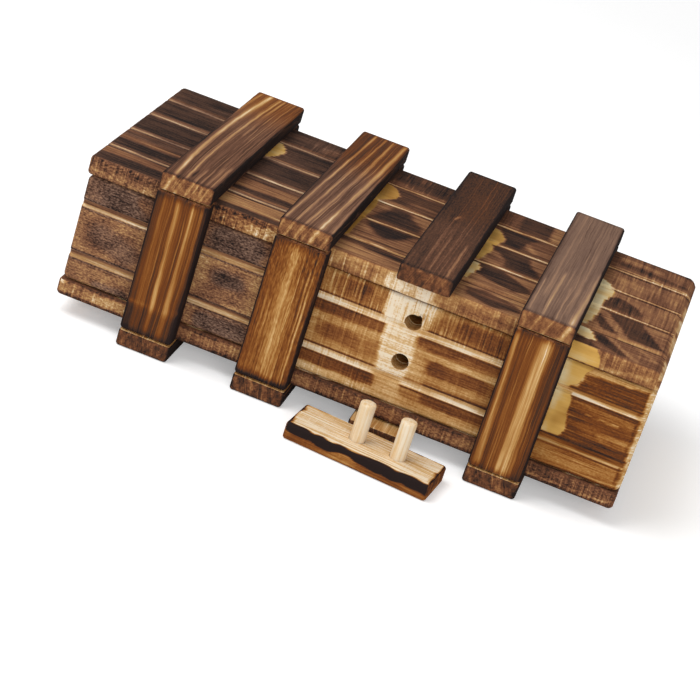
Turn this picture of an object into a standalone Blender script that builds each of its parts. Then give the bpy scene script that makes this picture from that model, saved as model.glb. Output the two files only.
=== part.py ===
"""A scorched pine puzzle box, closed, with its key lying on the table in front of it.

The case is a crate of grooved boards held by four hoops of battens. A shelf parts
the inside into two bays. The upper drawer slides out at the right end and the lower
drawer at the left end, and each drawer's end board looks like part of the case.
The front batten of the third hoop is the key: its two pegs pass through the front
wall into the drawers' front sides and lock both. It is shown taken off, pegs up.

The origin is on the table, under the middle of everything. +X runs to the right
along the case, +Y to its back and +Z up.
"""

import math

import bmesh
import bpy
from mathutils import Matrix, Vector

MM = 0.001

# The case: lid and base stand out past the walls, but the right end is sanded flush
CASE_LENGTH = 160.0 * MM
CASE_DEPTH = 76.0 * MM
LID_THICKNESS = 5.3 * MM
BASE_THICKNESS = 4.8 * MM
WALL_THICKNESS = 5.0 * MM
WALL_INSET = 0.7 * MM
END_THICKNESS = 5.0 * MM
SHELF_THICKNESS = 2.5 * MM
UPPER_BAY_HEIGHT = 11.9 * MM
LOWER_BAY_HEIGHT = 16.6 * MM

# Gap that a glue line leaves, and running gap of the drawers
GLUE_GAP = 0.3 * MM
SLIDE_GAP = 0.4 * MM

# Boards: rounded corners and arrises, milled grooves, and the sanded right end
CORNER_ROUND = 1.4 * MM
EDGE_ROUND = 0.6 * MM
ROUND_STEPS = 2
GROOVE_WIDTH = 2.1 * MM
GROOVE_DEPTH = 0.7 * MM
GROOVE_FLANK = 0.5 * MM
LID_GROOVE_SHARES = (0.166, 0.388, 0.598, 0.805)
WALL_GROOVE_SHARES = (0.245, 0.735)
SANDING_LENGTH = 1.9 * MM
SANDING_DROP = 1.3 * MM

# Battens: four hoops, each of a top, a bottom, a back and a front batten. The margins
# run from the ends of the lid to the middles of the first and last hoops.
BATTEN_WIDTH = 14.8 * MM
BATTEN_THICKNESS = 4.9 * MM
BATTEN_ROUND = 0.7 * MM
HOOP_COUNT = 4
KEY_HOOP = HOOP_COUNT - 1
LEFT_MARGIN = 28.4 * MM
RIGHT_MARGIN = 32.0 * MM

# Pegs of the key, and the holes that they lock into
PEG_DIAMETER = 4.3 * MM
PEG_PROJECTION = 11.0 * MM
PEG_SEAT = 3.0 * MM
PEG_TIP_CHAMFER = 0.5 * MM
PEG_GLUE_GAP = 0.15 * MM
HOLE_CLEARANCE = 0.2 * MM
UPPER_PEG_ABOVE_SHELF = 5.4 * MM
LOWER_PEG_BELOW_SHELF = 3.8 * MM
ROUND_SIDES = 24

# Drawers: end board, floor, two sides and a rear board each
DRAWER_SIDE_THICKNESS = 5.0 * MM
DRAWER_REAR_THICKNESS = 4.0 * MM
DRAWER_FLOOR_THICKNESS = 2.2 * MM
DRAWER_STOP_GAP = 0.8 * MM
DRAWER_ROUND = 0.4 * MM

# Where the key lies: turned a little, and clear of the front battens
KEY_TURN = math.radians(-6.0)
KEY_CLEARANCE = 0.5 * MM
KEY_SHIFT = 0.5 * MM

# How far a cutter runs past the surface that it cuts
OVERRUN = 1.0 * MM

# Levels above the table
BASE_LOW = BATTEN_THICKNESS + GLUE_GAP
BASE_TOP = BASE_LOW + BASE_THICKNESS
SHELF_LOW = BASE_TOP + LOWER_BAY_HEIGHT
SHELF_TOP = SHELF_LOW + SHELF_THICKNESS
LID_LOW = SHELF_TOP + UPPER_BAY_HEIGHT
LID_TOP = LID_LOW + LID_THICKNESS
UPPER_PEG_LEVEL = SHELF_TOP + UPPER_PEG_ABOVE_SHELF
LOWER_PEG_LEVEL = SHELF_LOW - LOWER_PEG_BELOW_SHELF

# Planes of the case, measured from the middle of its lid
LEFT_FACE = -CASE_LENGTH / 2 + WALL_INSET
RIGHT_FACE = CASE_LENGTH / 2
WALL_OUTER = CASE_DEPTH / 2 - WALL_INSET
WALL_INNER = WALL_OUTER - WALL_THICKNESS
BATTEN_INNER = CASE_DEPTH / 2 + GLUE_GAP
BATTEN_OUTER = BATTEN_INNER + BATTEN_THICKNESS

# Battens across the case reach over the ends of the upright ones
CROSS_LENGTH = 2 * BATTEN_OUTER
UPRIGHT_LENGTH = LID_TOP - BASE_LOW
UPRIGHT_CENTRE = (LID_TOP + BASE_LOW) / 2
HOOP_PITCH = (CASE_LENGTH - LEFT_MARGIN - RIGHT_MARGIN) / (HOOP_COUNT - 1)

# Reach of the turned key from its own centre, and the middle of case and key together
KEY_REACH = (UPRIGHT_LENGTH * abs(math.sin(KEY_TURN)) + BATTEN_WIDTH * math.cos(KEY_TURN)) / 2
KEY_FORWARD = BATTEN_OUTER + KEY_CLEARANCE + KEY_REACH
CASE_CENTRE_Y = (KEY_FORWARD + KEY_REACH - BATTEN_OUTER) / 2

# Colours of the scorched, worn and bare wood
CHAR_BROWN = (0.060, 0.034, 0.020)
GREY_BROWN = (0.130, 0.075, 0.048)
SCORCHED = (0.250, 0.120, 0.045)
STRAW_BROWN = (0.420, 0.240, 0.100)
BARE_PINE = (0.660, 0.480, 0.280)
DOWEL_CREAM = (0.800, 0.660, 0.440)


def hoop_x(number):
    """Place of a hoop along the case; hoops are numbered from 1 at the left."""
    return -CASE_LENGTH / 2 + LEFT_MARGIN + (number - 1) * HOOP_PITCH


def clear_scene():
    for obj in list(bpy.data.objects):
        bpy.data.objects.remove(obj, do_unlink=True)


def make_material(name, colour, roughness=0.7):
    material = bpy.data.materials.new(name)
    material.use_nodes = True
    shader = material.node_tree.nodes["Principled BSDF"]
    shader.inputs["Base Color"].default_value = (*colour, 1.0)
    shader.inputs["Roughness"].default_value = roughness
    shader.inputs["Metallic"].default_value = 0.0
    material.diffuse_color = (*colour, 1.0)
    return material


def make_empty(name, location, turn=0.0, parent=None):
    empty = bpy.data.objects.new(name, None)
    empty.location = location
    empty.rotation_euler.z = turn
    empty.parent = parent
    bpy.context.scene.collection.objects.link(empty)
    return empty


def make_object(name, bm, location, rotation=(0, 0, 0), parent=None, colour=None):
    """Turn a finished bmesh into an object with a material of its own."""
    bmesh.ops.recalc_face_normals(bm, faces=bm.faces)
    mesh = bpy.data.meshes.new(name)
    bm.to_mesh(mesh)
    bm.free()
    obj = bpy.data.objects.new(name, mesh)
    obj.location = location
    obj.rotation_euler = rotation
    obj.parent = parent
    bpy.context.scene.collection.objects.link(obj)
    if colour is not None:
        mesh.materials.append(make_material(name + "_wood", colour))
    return obj


def block(size):
    """A bmesh box of the given size about its own centre."""
    bm = bmesh.new()
    bmesh.ops.create_cube(bm, size=1.0)
    bmesh.ops.scale(bm, vec=size, verts=bm.verts)
    return bm


def edges_along(bm, axis):
    """Edges of a box that run along one axis: 0, 1 or 2."""
    def runs(edge):
        span = edge.verts[1].co - edge.verts[0].co
        return abs(span[axis]) > span.length * math.cos(math.radians(45))
    return [edge for edge in bm.edges if runs(edge)]


def softened_block(size, corner, edge):
    """A board lying flat: its four corners in plan rounded first, then both its rims."""
    bm = block(size)
    if corner > 0:
        bmesh.ops.bevel(bm, geom=edges_along(bm, 2), offset=corner, segments=ROUND_STEPS,
                        profile=0.5, affect="EDGES")
    half = size[2] / 2
    rims = []
    for item in bm.edges:
        levels = [vert.co.z for vert in item.verts]
        if abs(levels[0] - levels[1]) < half and len(item.link_faces) == 2:
            rims.append(item)
    bmesh.ops.bevel(bm, geom=rims, offset=edge, segments=ROUND_STEPS, profile=0.5, affect="EDGES")
    return bm


def cut(target, cutter):
    """Boolean difference; the cutter is a hidden guide that rides on its board."""
    cutter.hide_render = True
    cutter.display_type = "WIRE"
    modifier = target.modifiers.new(cutter.name, "BOOLEAN")
    modifier.operation = "DIFFERENCE"
    modifier.solver = "EXACT"
    modifier.object = cutter


def add_prism(bm, outline, start, end):
    """Extrude a closed outline of (y, z) points along X from start to end."""
    ring = [bm.verts.new((start, y, z)) for y, z in outline]
    face = bm.faces.new(ring)
    grown = bmesh.ops.extrude_face_region(bm, geom=[face])
    moved = [item for item in grown["geom"] if isinstance(item, bmesh.types.BMVert)]
    bmesh.ops.translate(bm, vec=(end - start, 0, 0), verts=moved)


def groove_cutter(board, length, thickness, places):
    """Milled grooves along a board's upper face: sloping flanks and a flat bed."""
    bm = bmesh.new()
    face = thickness / 2
    for place in places:
        half = GROOVE_WIDTH / 2
        bed = half - GROOVE_FLANK
        outline = [
            (place - half, face + OVERRUN),
            (place - half, face),
            (place - bed, face - GROOVE_DEPTH),
            (place + bed, face - GROOVE_DEPTH),
            (place + half, face),
            (place + half, face + OVERRUN),
        ]
        add_prism(bm, outline, -length / 2 - OVERRUN, length / 2 + OVERRUN)
    cut(board, make_object(board.name + "_grooves", bm, (0, 0, 0), parent=board))


def sanding_cutter(board, length, width, thickness):
    """The bevel that sanding leaves along the upper edge of a board's right end."""
    slope = SANDING_LENGTH / SANDING_DROP
    top = thickness / 2 + OVERRUN
    low = thickness / 2 - SANDING_DROP - OVERRUN
    inner = length / 2 - SANDING_LENGTH - OVERRUN * slope
    outer = length / 2 + OVERRUN * slope
    bm = bmesh.new()
    corners = [(inner, top), (outer, low), (outer, top)]
    ring = [bm.verts.new((x, -width / 2 - OVERRUN, z)) for x, z in corners]
    grown = bmesh.ops.extrude_face_region(bm, geom=[bm.faces.new(ring)])
    moved = [item for item in grown["geom"] if isinstance(item, bmesh.types.BMVert)]
    bmesh.ops.translate(bm, vec=(0, width + 2 * OVERRUN, 0), verts=moved)
    cut(board, make_object(board.name + "_sanding", bm, (0, 0, 0), parent=board))


def hole_cutter(board, name, radius, low, high, places):
    """Round holes through a board's thickness from low to high, at (x, y) places on it."""
    bm = bmesh.new()
    for x, y in places:
        shift = Matrix.Translation((x, y, (low + high) / 2))
        bmesh.ops.create_cone(bm, cap_ends=True, segments=ROUND_SIDES, radius1=radius,
                              radius2=radius, depth=high - low, matrix=shift)
    cut(board, make_object(name, bm, (0, 0, 0), parent=board))


def grooved_board(name, size, location, rotation, parent, colour, shares, sanded):
    """A board modelled lying flat with its grooved face up, then turned to its place."""
    length, width, thickness = size
    board = make_object(name, softened_block(size, CORNER_ROUND, EDGE_ROUND), location,
                        rotation, parent, colour)
    groove_cutter(board, length, thickness, [(share - 0.5) * width for share in shares])
    if sanded:
        sanding_cutter(board, length, width, thickness)
    return board


def plain_board(name, low, high, parent, colour, edge=DRAWER_ROUND):
    """A board between two corners, with all its arrises eased."""
    low = Vector(low)
    high = Vector(high)
    bm = block(high - low)
    bmesh.ops.bevel(bm, geom=bm.edges[:], offset=edge, segments=1, affect="EDGES")
    return make_object(name, bm, (low + high) / 2, parent=parent, colour=colour)


def build_shell(case):
    """Lid, base, walls, shelf and the two fixed end boards."""
    flat = (0, 0, 0)
    grooves_down = (math.radians(180), 0, 0)
    grooves_front = (math.radians(90), 0, 0)
    grooves_back = (math.radians(-90), 0, 0)
    grooved_board("lid_panel", (CASE_LENGTH, CASE_DEPTH, LID_THICKNESS),
                  (0, 0, (LID_LOW + LID_TOP) / 2), flat, case, SCORCHED,
                  LID_GROOVE_SHARES, sanded=True)
    grooved_board("base_panel", (CASE_LENGTH, CASE_DEPTH, BASE_THICKNESS),
                  (0, 0, (BASE_LOW + BASE_TOP) / 2), grooves_down, case, SCORCHED,
                  LID_GROOVE_SHARES, sanded=False)

    wall_low = BASE_TOP + GLUE_GAP
    wall_top = LID_LOW - GLUE_GAP
    wall_size = (RIGHT_FACE - LEFT_FACE, wall_top - wall_low, WALL_THICKNESS)
    wall_x = (RIGHT_FACE + LEFT_FACE) / 2
    wall_y = (WALL_OUTER + WALL_INNER) / 2
    wall_z = (wall_top + wall_low) / 2
    front = grooved_board("front_wall", wall_size, (wall_x, -wall_y, wall_z), grooves_front,
                          case, STRAW_BROWN, WALL_GROOVE_SHARES, sanded=True)
    grooved_board("back_wall", wall_size, (wall_x, wall_y, wall_z), grooves_back,
                  case, SCORCHED, [1 - share for share in WALL_GROOVE_SHARES], sanded=False)
    reach = WALL_THICKNESS / 2 + OVERRUN
    places = [(hoop_x(KEY_HOOP) - wall_x, level - wall_z)
              for level in (UPPER_PEG_LEVEL, LOWER_PEG_LEVEL)]
    hole_cutter(front, "front_wall_peg_holes", PEG_DIAMETER / 2 + HOLE_CLEARANCE,
                -reach, reach, places)

    half = WALL_INNER - GLUE_GAP
    shelf_left = LEFT_FACE + END_THICKNESS + GLUE_GAP
    shelf_right = RIGHT_FACE - END_THICKNESS - GLUE_GAP
    plain_board("shelf", (shelf_left, -half, SHELF_LOW), (shelf_right, half, SHELF_TOP),
                case, BARE_PINE)
    plain_board("lower_end_board", (RIGHT_FACE - END_THICKNESS, -half, wall_low),
                (RIGHT_FACE, half, SHELF_TOP), case, BARE_PINE)
    plain_board("upper_end_board", (LEFT_FACE, -half, SHELF_LOW),
                (LEFT_FACE + END_THICKNESS, half, wall_top), case, SCORCHED)


def make_batten(name, length, location, rotation, parent, colour):
    """A strap modelled lying flat along X, with all its arrises worn round."""
    bm = block((length, BATTEN_WIDTH, BATTEN_THICKNESS))
    bmesh.ops.bevel(bm, geom=bm.edges[:], offset=BATTEN_ROUND, segments=ROUND_STEPS,
                    profile=0.5, affect="EDGES")
    return make_object(name, bm, location, rotation, parent, colour)


def build_hoops(case):
    """The battens that stay on the case; the key hoop has no front batten here."""
    across = (0, 0, math.radians(90))
    upright_front = (math.radians(90), math.radians(-90), 0)
    upright_back = (math.radians(-90), math.radians(-90), 0)
    thin = BATTEN_THICKNESS / 2
    for number in range(1, HOOP_COUNT + 1):
        x = hoop_x(number)
        top_colour = GREY_BROWN if number < KEY_HOOP else CHAR_BROWN
        make_batten(f"top_batten_{number}", CROSS_LENGTH, (x, 0, LID_TOP + GLUE_GAP + thin),
                    across, case, top_colour)
        make_batten(f"bottom_batten_{number}", CROSS_LENGTH, (x, 0, thin),
                    across, case, SCORCHED)
        make_batten(f"back_batten_{number}", UPRIGHT_LENGTH,
                    (x, BATTEN_INNER + thin, UPRIGHT_CENTRE), upright_back, case, CHAR_BROWN)
        if number != KEY_HOOP:
            make_batten(f"front_batten_{number}", UPRIGHT_LENGTH,
                        (x, -BATTEN_INNER - thin, UPRIGHT_CENTRE), upright_front, case,
                        SCORCHED)


def build_key(rest):
    """The key strap lying on its outer face, with two pegs glued in its inner face."""
    strap = make_batten("key_batten", UPRIGHT_LENGTH, (0, 0, BATTEN_THICKNESS / 2), (0, 0, 0),
                        rest, CHAR_BROWN)
    places = {
        "key_peg_upper": UPPER_PEG_LEVEL - UPRIGHT_CENTRE,
        "key_peg_lower": LOWER_PEG_LEVEL - UPRIGHT_CENTRE,
    }
    face = BATTEN_THICKNESS / 2
    radius = PEG_DIAMETER / 2
    hole_cutter(strap, "key_batten_sockets", radius + PEG_GLUE_GAP, face - PEG_SEAT,
                face + OVERRUN, [(x, 0) for x in places.values()])
    foot = BATTEN_THICKNESS - PEG_SEAT + PEG_GLUE_GAP
    tip = BATTEN_THICKNESS + PEG_PROJECTION
    for name, x in places.items():
        bm = bmesh.new()
        bmesh.ops.create_cone(bm, cap_ends=True, segments=ROUND_SIDES, radius1=radius,
                              radius2=radius, depth=tip - foot)
        rims = [edge for edge in bm.edges if min(vert.co.z for vert in edge.verts) > 0]
        bmesh.ops.bevel(bm, geom=rims, offset=PEG_TIP_CHAMFER, segments=1, affect="EDGES")
        peg = make_object(name, bm, (x, 0, (foot + tip) / 2), parent=rest, colour=DOWEL_CREAM)
        peg.data.shade_smooth()
        peg.data.set_sharp_from_angle(angle=math.radians(40))


def build_drawer(prefix, slide, side, bay_low, bay_high, mouth, stop, peg_level):
    """One drawer; side is 1 for the right end and -1 for the left.

    The slide empty stands at the mouth of the bay, on the drawer's middle line, and
    every board is placed from it. mouth and stop are the x of the case's outer face
    and of the fixed board that ends the bay.
    """
    middle = (bay_low + bay_high) / 2
    half = WALL_INNER - SLIDE_GAP
    low = bay_low + SLIDE_GAP - middle
    high = bay_high - SLIDE_GAP - middle
    end_inner = -END_THICKNESS
    box_start = end_inner - GLUE_GAP
    box_end = -(abs(mouth - stop) - DRAWER_STOP_GAP)
    inside = half - DRAWER_SIDE_THICKNESS
    floor_top = low + DRAWER_FLOOR_THICKNESS

    def board(name, x0, x1, y0, y1, z0, z1, colour):
        """A board between distances x0 and x1 along the drawer's way out."""
        left, right = sorted((side * x0, side * x1))
        return plain_board(prefix + name, (left, y0, z0), (right, y1, z1), slide, colour)

    end_colour = BARE_PINE if side > 0 else SCORCHED
    board("_end", end_inner, 0, -half, half, low, high, end_colour)
    front_side = board("_front_side", box_end, box_start, -half, -inside, low, high, BARE_PINE)
    board("_back_side", box_end, box_start, inside, half, low, high, BARE_PINE)
    fit = inside - GLUE_GAP
    board("_floor", box_end, box_start, -fit, fit, low, floor_top, BARE_PINE)
    board("_rear", box_end, box_end + DRAWER_REAR_THICKNESS, -fit, fit,
          floor_top + GLUE_GAP, high, BARE_PINE)

    # The lock hole is drilled across the front side, so its cutter is turned to run along Y
    centre = front_side.location
    radius = PEG_DIAMETER / 2 + HOLE_CLEARANCE
    bm = bmesh.new()
    bmesh.ops.create_cone(bm, cap_ends=True, segments=ROUND_SIDES, radius1=radius, radius2=radius,
                          depth=DRAWER_SIDE_THICKNESS + 2 * OVERRUN)
    bmesh.ops.rotate(bm, matrix=Matrix.Rotation(math.radians(90), 3, "X"), verts=bm.verts)
    drill = make_object(prefix + "_lock_drill", bm,
                        (hoop_x(KEY_HOOP) - mouth - centre.x, 0, peg_level - middle - centre.z),
                        parent=front_side)
    cut(front_side, drill)


def main():
    clear_scene()
    case = make_empty("case_middle", (0, CASE_CENTRE_Y, 0))
    build_shell(case)
    build_hoops(case)

    upper_slide = make_empty("upper_drawer_slide", (RIGHT_FACE, 0, (SHELF_TOP + LID_LOW) / 2),
                             parent=case)
    build_drawer("upper_drawer", upper_slide, 1, SHELF_TOP, LID_LOW, RIGHT_FACE,
                 LEFT_FACE + END_THICKNESS, UPPER_PEG_LEVEL)
    lower_slide = make_empty("lower_drawer_slide", (LEFT_FACE, 0, (BASE_TOP + SHELF_LOW) / 2),
                             parent=case)
    build_drawer("lower_drawer", lower_slide, -1, BASE_TOP, SHELF_LOW, LEFT_FACE,
                 RIGHT_FACE - END_THICKNESS, LOWER_PEG_LEVEL)

    key_rest = make_empty("key_lift", (hoop_x(KEY_HOOP) + KEY_SHIFT, -KEY_FORWARD, 0),
                          turn=KEY_TURN, parent=case)
    build_key(key_rest)


main()
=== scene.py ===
"""Looks of the scorched pine puzzle box: every board, batten and peg is made again, finely,
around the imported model, and painted the way a gas flame, glue and sandpaper leave pine."""

import math

import bpy
import numpy as np
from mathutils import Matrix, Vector


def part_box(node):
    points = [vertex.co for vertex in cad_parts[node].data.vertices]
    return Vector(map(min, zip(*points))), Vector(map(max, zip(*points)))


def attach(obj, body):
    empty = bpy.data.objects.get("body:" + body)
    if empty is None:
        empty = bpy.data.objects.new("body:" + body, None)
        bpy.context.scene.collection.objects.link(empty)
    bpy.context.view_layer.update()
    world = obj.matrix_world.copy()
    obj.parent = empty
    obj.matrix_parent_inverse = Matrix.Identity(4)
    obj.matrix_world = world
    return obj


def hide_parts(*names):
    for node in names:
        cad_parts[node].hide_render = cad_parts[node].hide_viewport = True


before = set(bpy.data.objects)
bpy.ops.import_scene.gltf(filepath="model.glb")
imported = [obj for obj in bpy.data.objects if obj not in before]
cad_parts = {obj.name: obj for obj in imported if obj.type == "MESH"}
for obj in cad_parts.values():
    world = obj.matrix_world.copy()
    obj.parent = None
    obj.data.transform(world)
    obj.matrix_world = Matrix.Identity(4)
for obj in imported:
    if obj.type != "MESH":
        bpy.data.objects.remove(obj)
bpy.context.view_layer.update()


# The base is one pine board, grooved to look like five planks, with its corners rounded.
# It was glued up and then burnt with a torch, so its underside is darkest mid-plank and
# its front edge is straw where the flame only brushed it.
MM = 0.001
RIGHT, BACK, UP = np.eye(3)
LEFT, FRONT, DOWN = -np.eye(3)
BOARD_CORNER = 1.4
BOARD_EDGE = 0.9
GROOVE_HALF = 1.05
GROOVE_BED = 0.55
GROOVE_DEPTH = 0.7
LIP_GAP = 0.24
LIP_HALF = 0.32
PANEL_GROOVE_SHARES = (0.166, 0.388, 0.598, 0.805)
OVERHANG = 1.4
HOLE_SQUARE = 0.88
HOLE_REACH = 1.6
INWARD = -0.7
# Levels of burn run from 0, the palest wood, to 1, soot
BARE = 0.13
PLAIN_EDGE = 0.74
UNDER_OVERHANG = 0.80
BURN_TONES = (
    (0.00, (0.780, 0.670, 0.510)),
    (0.07, (0.700, 0.500, 0.280)),
    (0.14, (0.610, 0.385, 0.165)),
    (0.30, (0.460, 0.243, 0.078)),
    (0.46, (0.320, 0.133, 0.033)),
    (0.60, (0.215, 0.072, 0.017)),
    (0.72, (0.140, 0.042, 0.012)),
    (0.84, (0.082, 0.032, 0.015)),
    (0.93, (0.049, 0.025, 0.017)),
    (1.00, (0.020, 0.013, 0.012)),
)
# Greyer tones, for soot and for the grey sheen painted on the top battens
SOOT_AND_SHEEN_TONES = (
    (0.00, (0.780, 0.670, 0.510)),
    (0.30, (0.450, 0.275, 0.135)),
    (0.50, (0.285, 0.166, 0.105)),
    (0.66, (0.178, 0.105, 0.074)),
    (0.80, (0.096, 0.053, 0.038)),
    (0.93, (0.048, 0.027, 0.020)),
    (1.00, (0.018, 0.013, 0.012)),
)
GLUE_TONES = ((0.10, (0.700, 0.580, 0.340)), (0.30, (0.600, 0.350, 0.090)),
              (0.50, (0.360, 0.175, 0.036)))


def fade(value):
    """Smooth step: 0 below 0, 1 above 1, and 3v^2 - 2v^3 between."""
    value = np.clip(value, 0, 1)
    return value * value * (3 - 2 * value)


def lay(field, level, cover):
    """A level laid over a field: the field where cover is 0, and the level where it is 1."""
    return field + (level - field) * cover


def noise(spot, size, seed):
    """Smooth noise from -1 to 1: random values at the corners of cells of the given size
    in mm, one number or three, blended across each cell with a smooth step."""
    count = 32
    table = np.random.default_rng(seed).uniform(-1, 1, (count, count, count))
    scaled = spot / np.asarray(size, float)
    cell = np.floor(scaled).astype(int)
    blend = fade(scaled - cell)
    total = np.zeros(len(spot))
    for corner in np.ndindex(2, 2, 2):
        weight = np.prod(np.where(corner, blend, 1 - blend), axis=1)
        total += weight * table[tuple(((cell + corner) % count).T)]
    return total


def planes(half, edge, step, marks=()):
    """Planes that slice a side from -half to half: five across each rounded edge, one at
    each mark inside them, and one every step between, left out where a mark is near."""
    near = edge * np.array([0, 0.14, 0.4, 0.7, 1])
    count = max(1, int(np.ceil(2 * (half - edge) / step)))
    even = np.linspace(edge - half, half - edge, count + 1)[1:-1]
    marks = np.asarray(marks, float)
    marks = marks[np.abs(marks) < half - edge]
    if len(marks):
        even = even[np.abs(even[:, None] - marks).min(axis=1) > 0.4 * step]
    return np.unique(np.round(np.concatenate([near - half, even, half - near, marks]), 5))


def lattice_shell(xs, ys, zs, empty=()):
    """Skin of a block sliced by planes: one quad wherever a filled cell meets an empty one.
    empty lists the ranges of cells (x0, x1, y0, y1, z0, z1) that are drilled out."""
    solid = np.zeros((len(xs) + 1, len(ys) + 1, len(zs) + 1), bool)
    solid[1:-1, 1:-1, 1:-1] = True
    for x0, x1, y0, y1, z0, z1 in empty:
        solid[1 + x0:1 + x1, 1 + y0:1 + y1, 1 + z0:1 + z1] = False
    corner = np.arange(len(xs) * len(ys) * len(zs)).reshape(len(xs), len(ys), len(zs))
    quads = []
    for axis in range(3):
        cells = np.moveaxis(solid, axis, 0)
        grid = np.moveaxis(corner, axis, 0)
        low, high = cells[:-1, 1:-1, 1:-1], cells[1:, 1:-1, 1:-1]
        p, j, k = np.nonzero(low != high)
        quad = np.stack([grid[p, j, k], grid[p, j + 1, k],
                         grid[p, j + 1, k + 1], grid[p, j, k + 1]], axis=1)
        turned = low[p, j, k] == (axis == 1)
        quad[turned] = quad[turned][:, ::-1]
        quads.append(quad)
    used, faces = np.unique(np.concatenate(quads), return_inverse=True)
    i, j, k = np.unravel_index(used, corner.shape)
    return np.stack([xs[i], ys[j], zs[k]], axis=1), faces.reshape(-1, 4)


def soften(points, half, corner, edge):
    """Round a block: in plan each corner follows an arc of radius corner, and from there
    to the faces an arc of radius edge. Returns the points and their outward directions."""
    outer = (np.abs(np.abs(points) - half) < 1e-4).any(axis=1)
    core = half - np.array([corner, corner, edge])
    inner = np.clip(points, -core, core)
    offset = points - inner
    plan = offset[:, :2]
    reach = np.abs(plan).max(axis=1)
    way = plan / np.maximum(np.linalg.norm(plan, axis=1), 1e-9)[:, None]
    flat = np.minimum(reach, corner - edge)
    rise = np.stack([reach - flat, offset[:, 2]], axis=1)
    rise /= np.maximum(np.linalg.norm(rise, axis=1), 1e-9)[:, None]
    facing = np.column_stack([way * rise[:, :1], rise[:, 1]])
    level = np.zeros((len(points), 1))
    rounded = inner + np.hstack([way * flat[:, None], level]) + facing * edge
    facing[~outer] = 0
    return np.where(outer[:, None], rounded, points), facing


def open_holes(points, holes):
    """Make each square hole round: a point keeps its direction from the hole's middle and
    moves from its square ring to the circle of that size. Beyond the rim it moves less and
    less, and not at all from HOLE_REACH times the hole's size."""
    for x, y, radius, _ in holes:
        away = points[:, :2] - (x, y)
        ring = np.abs(away).max(axis=1) / (radius * HOLE_SQUARE)
        length = np.maximum(np.linalg.norm(away, axis=1), 1e-9)
        near = fade((HOLE_REACH - ring) / (HOLE_REACH - 1))
        scale = 1 + near * (radius * ring / length - 1)
        points[:, :2] = (x, y) + away * scale[:, None]
    return points


def make_piece(name, points, faces, layers):
    """Put arrays into a mesh in one go, with each layer as a value kept at its points."""
    mesh = bpy.data.meshes.new(name)
    mesh.from_pydata((points * MM).tolist(), [], faces)
    for layer, values in layers.items():
        kind, field = ("FLOAT_VECTOR", "vector") if values.ndim == 2 else ("FLOAT", "value")
        mesh.attributes.new(layer, kind, "POINT").data.foreach_set(field, values.ravel())
    mesh.shade_smooth()
    mesh.set_sharp_from_angle(angle=math.radians(38))
    piece = bpy.data.objects.new(name, mesh)
    bpy.context.scene.collection.objects.link(piece)
    return piece


def arris(facing):
    """How far each place is from facing one way: 0 on a flat face, more round an arris,
    and 1 in a hole, where facing is zero."""
    return 1 - np.abs(facing).max(axis=1)


def node_room(node):
    """Middle and size of a CAD node's box, in mm."""
    low, high = (np.array(corner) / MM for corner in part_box(node))
    return (low + high) / 2, high - low


def sliced_block(size, step, corner, edge, grooves, holes):
    """Skin of a block round the origin, sliced every step and more closely across each
    groove and hole, with its holes drilled square. A hole is (x, y, radius, depth)."""
    half = size / 2
    rims = HOLE_SQUARE * np.array([-HOLE_REACH, -1.25, -1, -0.5, 0, 0.5, 1, 1.25, HOLE_REACH])
    flanks = GROOVE_HALF * np.array([0.2, 0.5, 0.64, 0.76, 0.88, 1, 1.25, 1.5])
    flanks = np.concatenate([-flanks, flanks])
    marks_x = [x + radius * rim for x, _, radius, _ in holes for rim in rims]
    marks_y = [y + radius * rim for _, y, radius, _ in holes for rim in rims]
    marks_y += [groove - half[1] + flank for groove in grooves for flank in flanks]
    marks_z = [half[2] - depth for *_, depth in holes if depth < size[2]]
    xs = planes(half[0], corner, step[0], marks_x)
    ys = planes(half[1], corner, step[1], marks_y)
    zs = planes(half[2], edge, step[2], marks_z)
    empty = []
    for x, y, radius, depth in holes:
        reach = np.array([-1, 1]) * radius * HOLE_SQUARE - 1e-3
        low = 0 if depth >= size[2] else np.searchsorted(zs, half[2] - depth - 1e-3)
        empty.append((*np.searchsorted(xs, x + reach), *np.searchsorted(ys, y + reach),
                      low, len(zs) - 1))
    return lattice_shell(xs, ys, zs, empty)


def board(name, room, along, out, paint, step, corner=BOARD_CORNER, edge=BOARD_EDGE,
          grooves=(), lower=None, holes=(), wear=0.1, seed=1):
    """A piece of wood, sliced into a lattice in its own frame: x along the grain, y across
    it and z out of its outer face. Its edges are rounded and its holes opened. Then its
    face is lowered by the grooves and by lower(spot), the sides shrinking in step, and the
    whole skin is worn inwards by noise, most on the arrises.

    room is its middle and its size in that frame. paint(spot, facing) gives its layers,
    from places in mm measured from its low corner and the directions that they face.
    """
    centre, size = room
    turn = np.stack([along, np.cross(out, along), out])
    half = size / 2
    holes = [(x - half[0], y - half[1], radius, depth) for x, y, radius, depth in holes]
    points, faces = sliced_block(size, step, corner, edge, grooves, holes)
    points, facing = soften(points, half, corner, edge)
    points = open_holes(points, holes)
    spot = points + half
    depth = np.zeros(len(points)) if lower is None else lower(spot)
    for groove in grooves:
        gap = np.abs(spot[:, 1] - groove)
        flank = np.clip((GROOVE_HALF - gap) / (GROOVE_HALF - GROOVE_BED), 0, 1)
        depth = np.maximum(depth, GROOVE_DEPTH * flank)
    points[:, 2] -= depth * np.clip(spot[:, 2] / size[2], 0, 1)
    rough = 0.5 + 0.5 * noise(spot, 2.1, seed) + 0.3 * noise(spot, 0.9, seed + 1)
    fibre = 0.5 + 0.5 * noise(spot, (9, 0.8, 0.8), seed + 2)
    worn = wear * (0.25 * fibre + 4 * arris(facing) * np.clip(rough, 0, 1.3))
    points -= facing * worn[:, None]

    layers = paint(spot, facing)
    layers["grain"] = layers.get("grain", spot) + seed * np.array([17.0, 9.0, 5.0])
    return make_piece(name, points @ turn + centre, faces.tolist(), layers)


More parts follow.
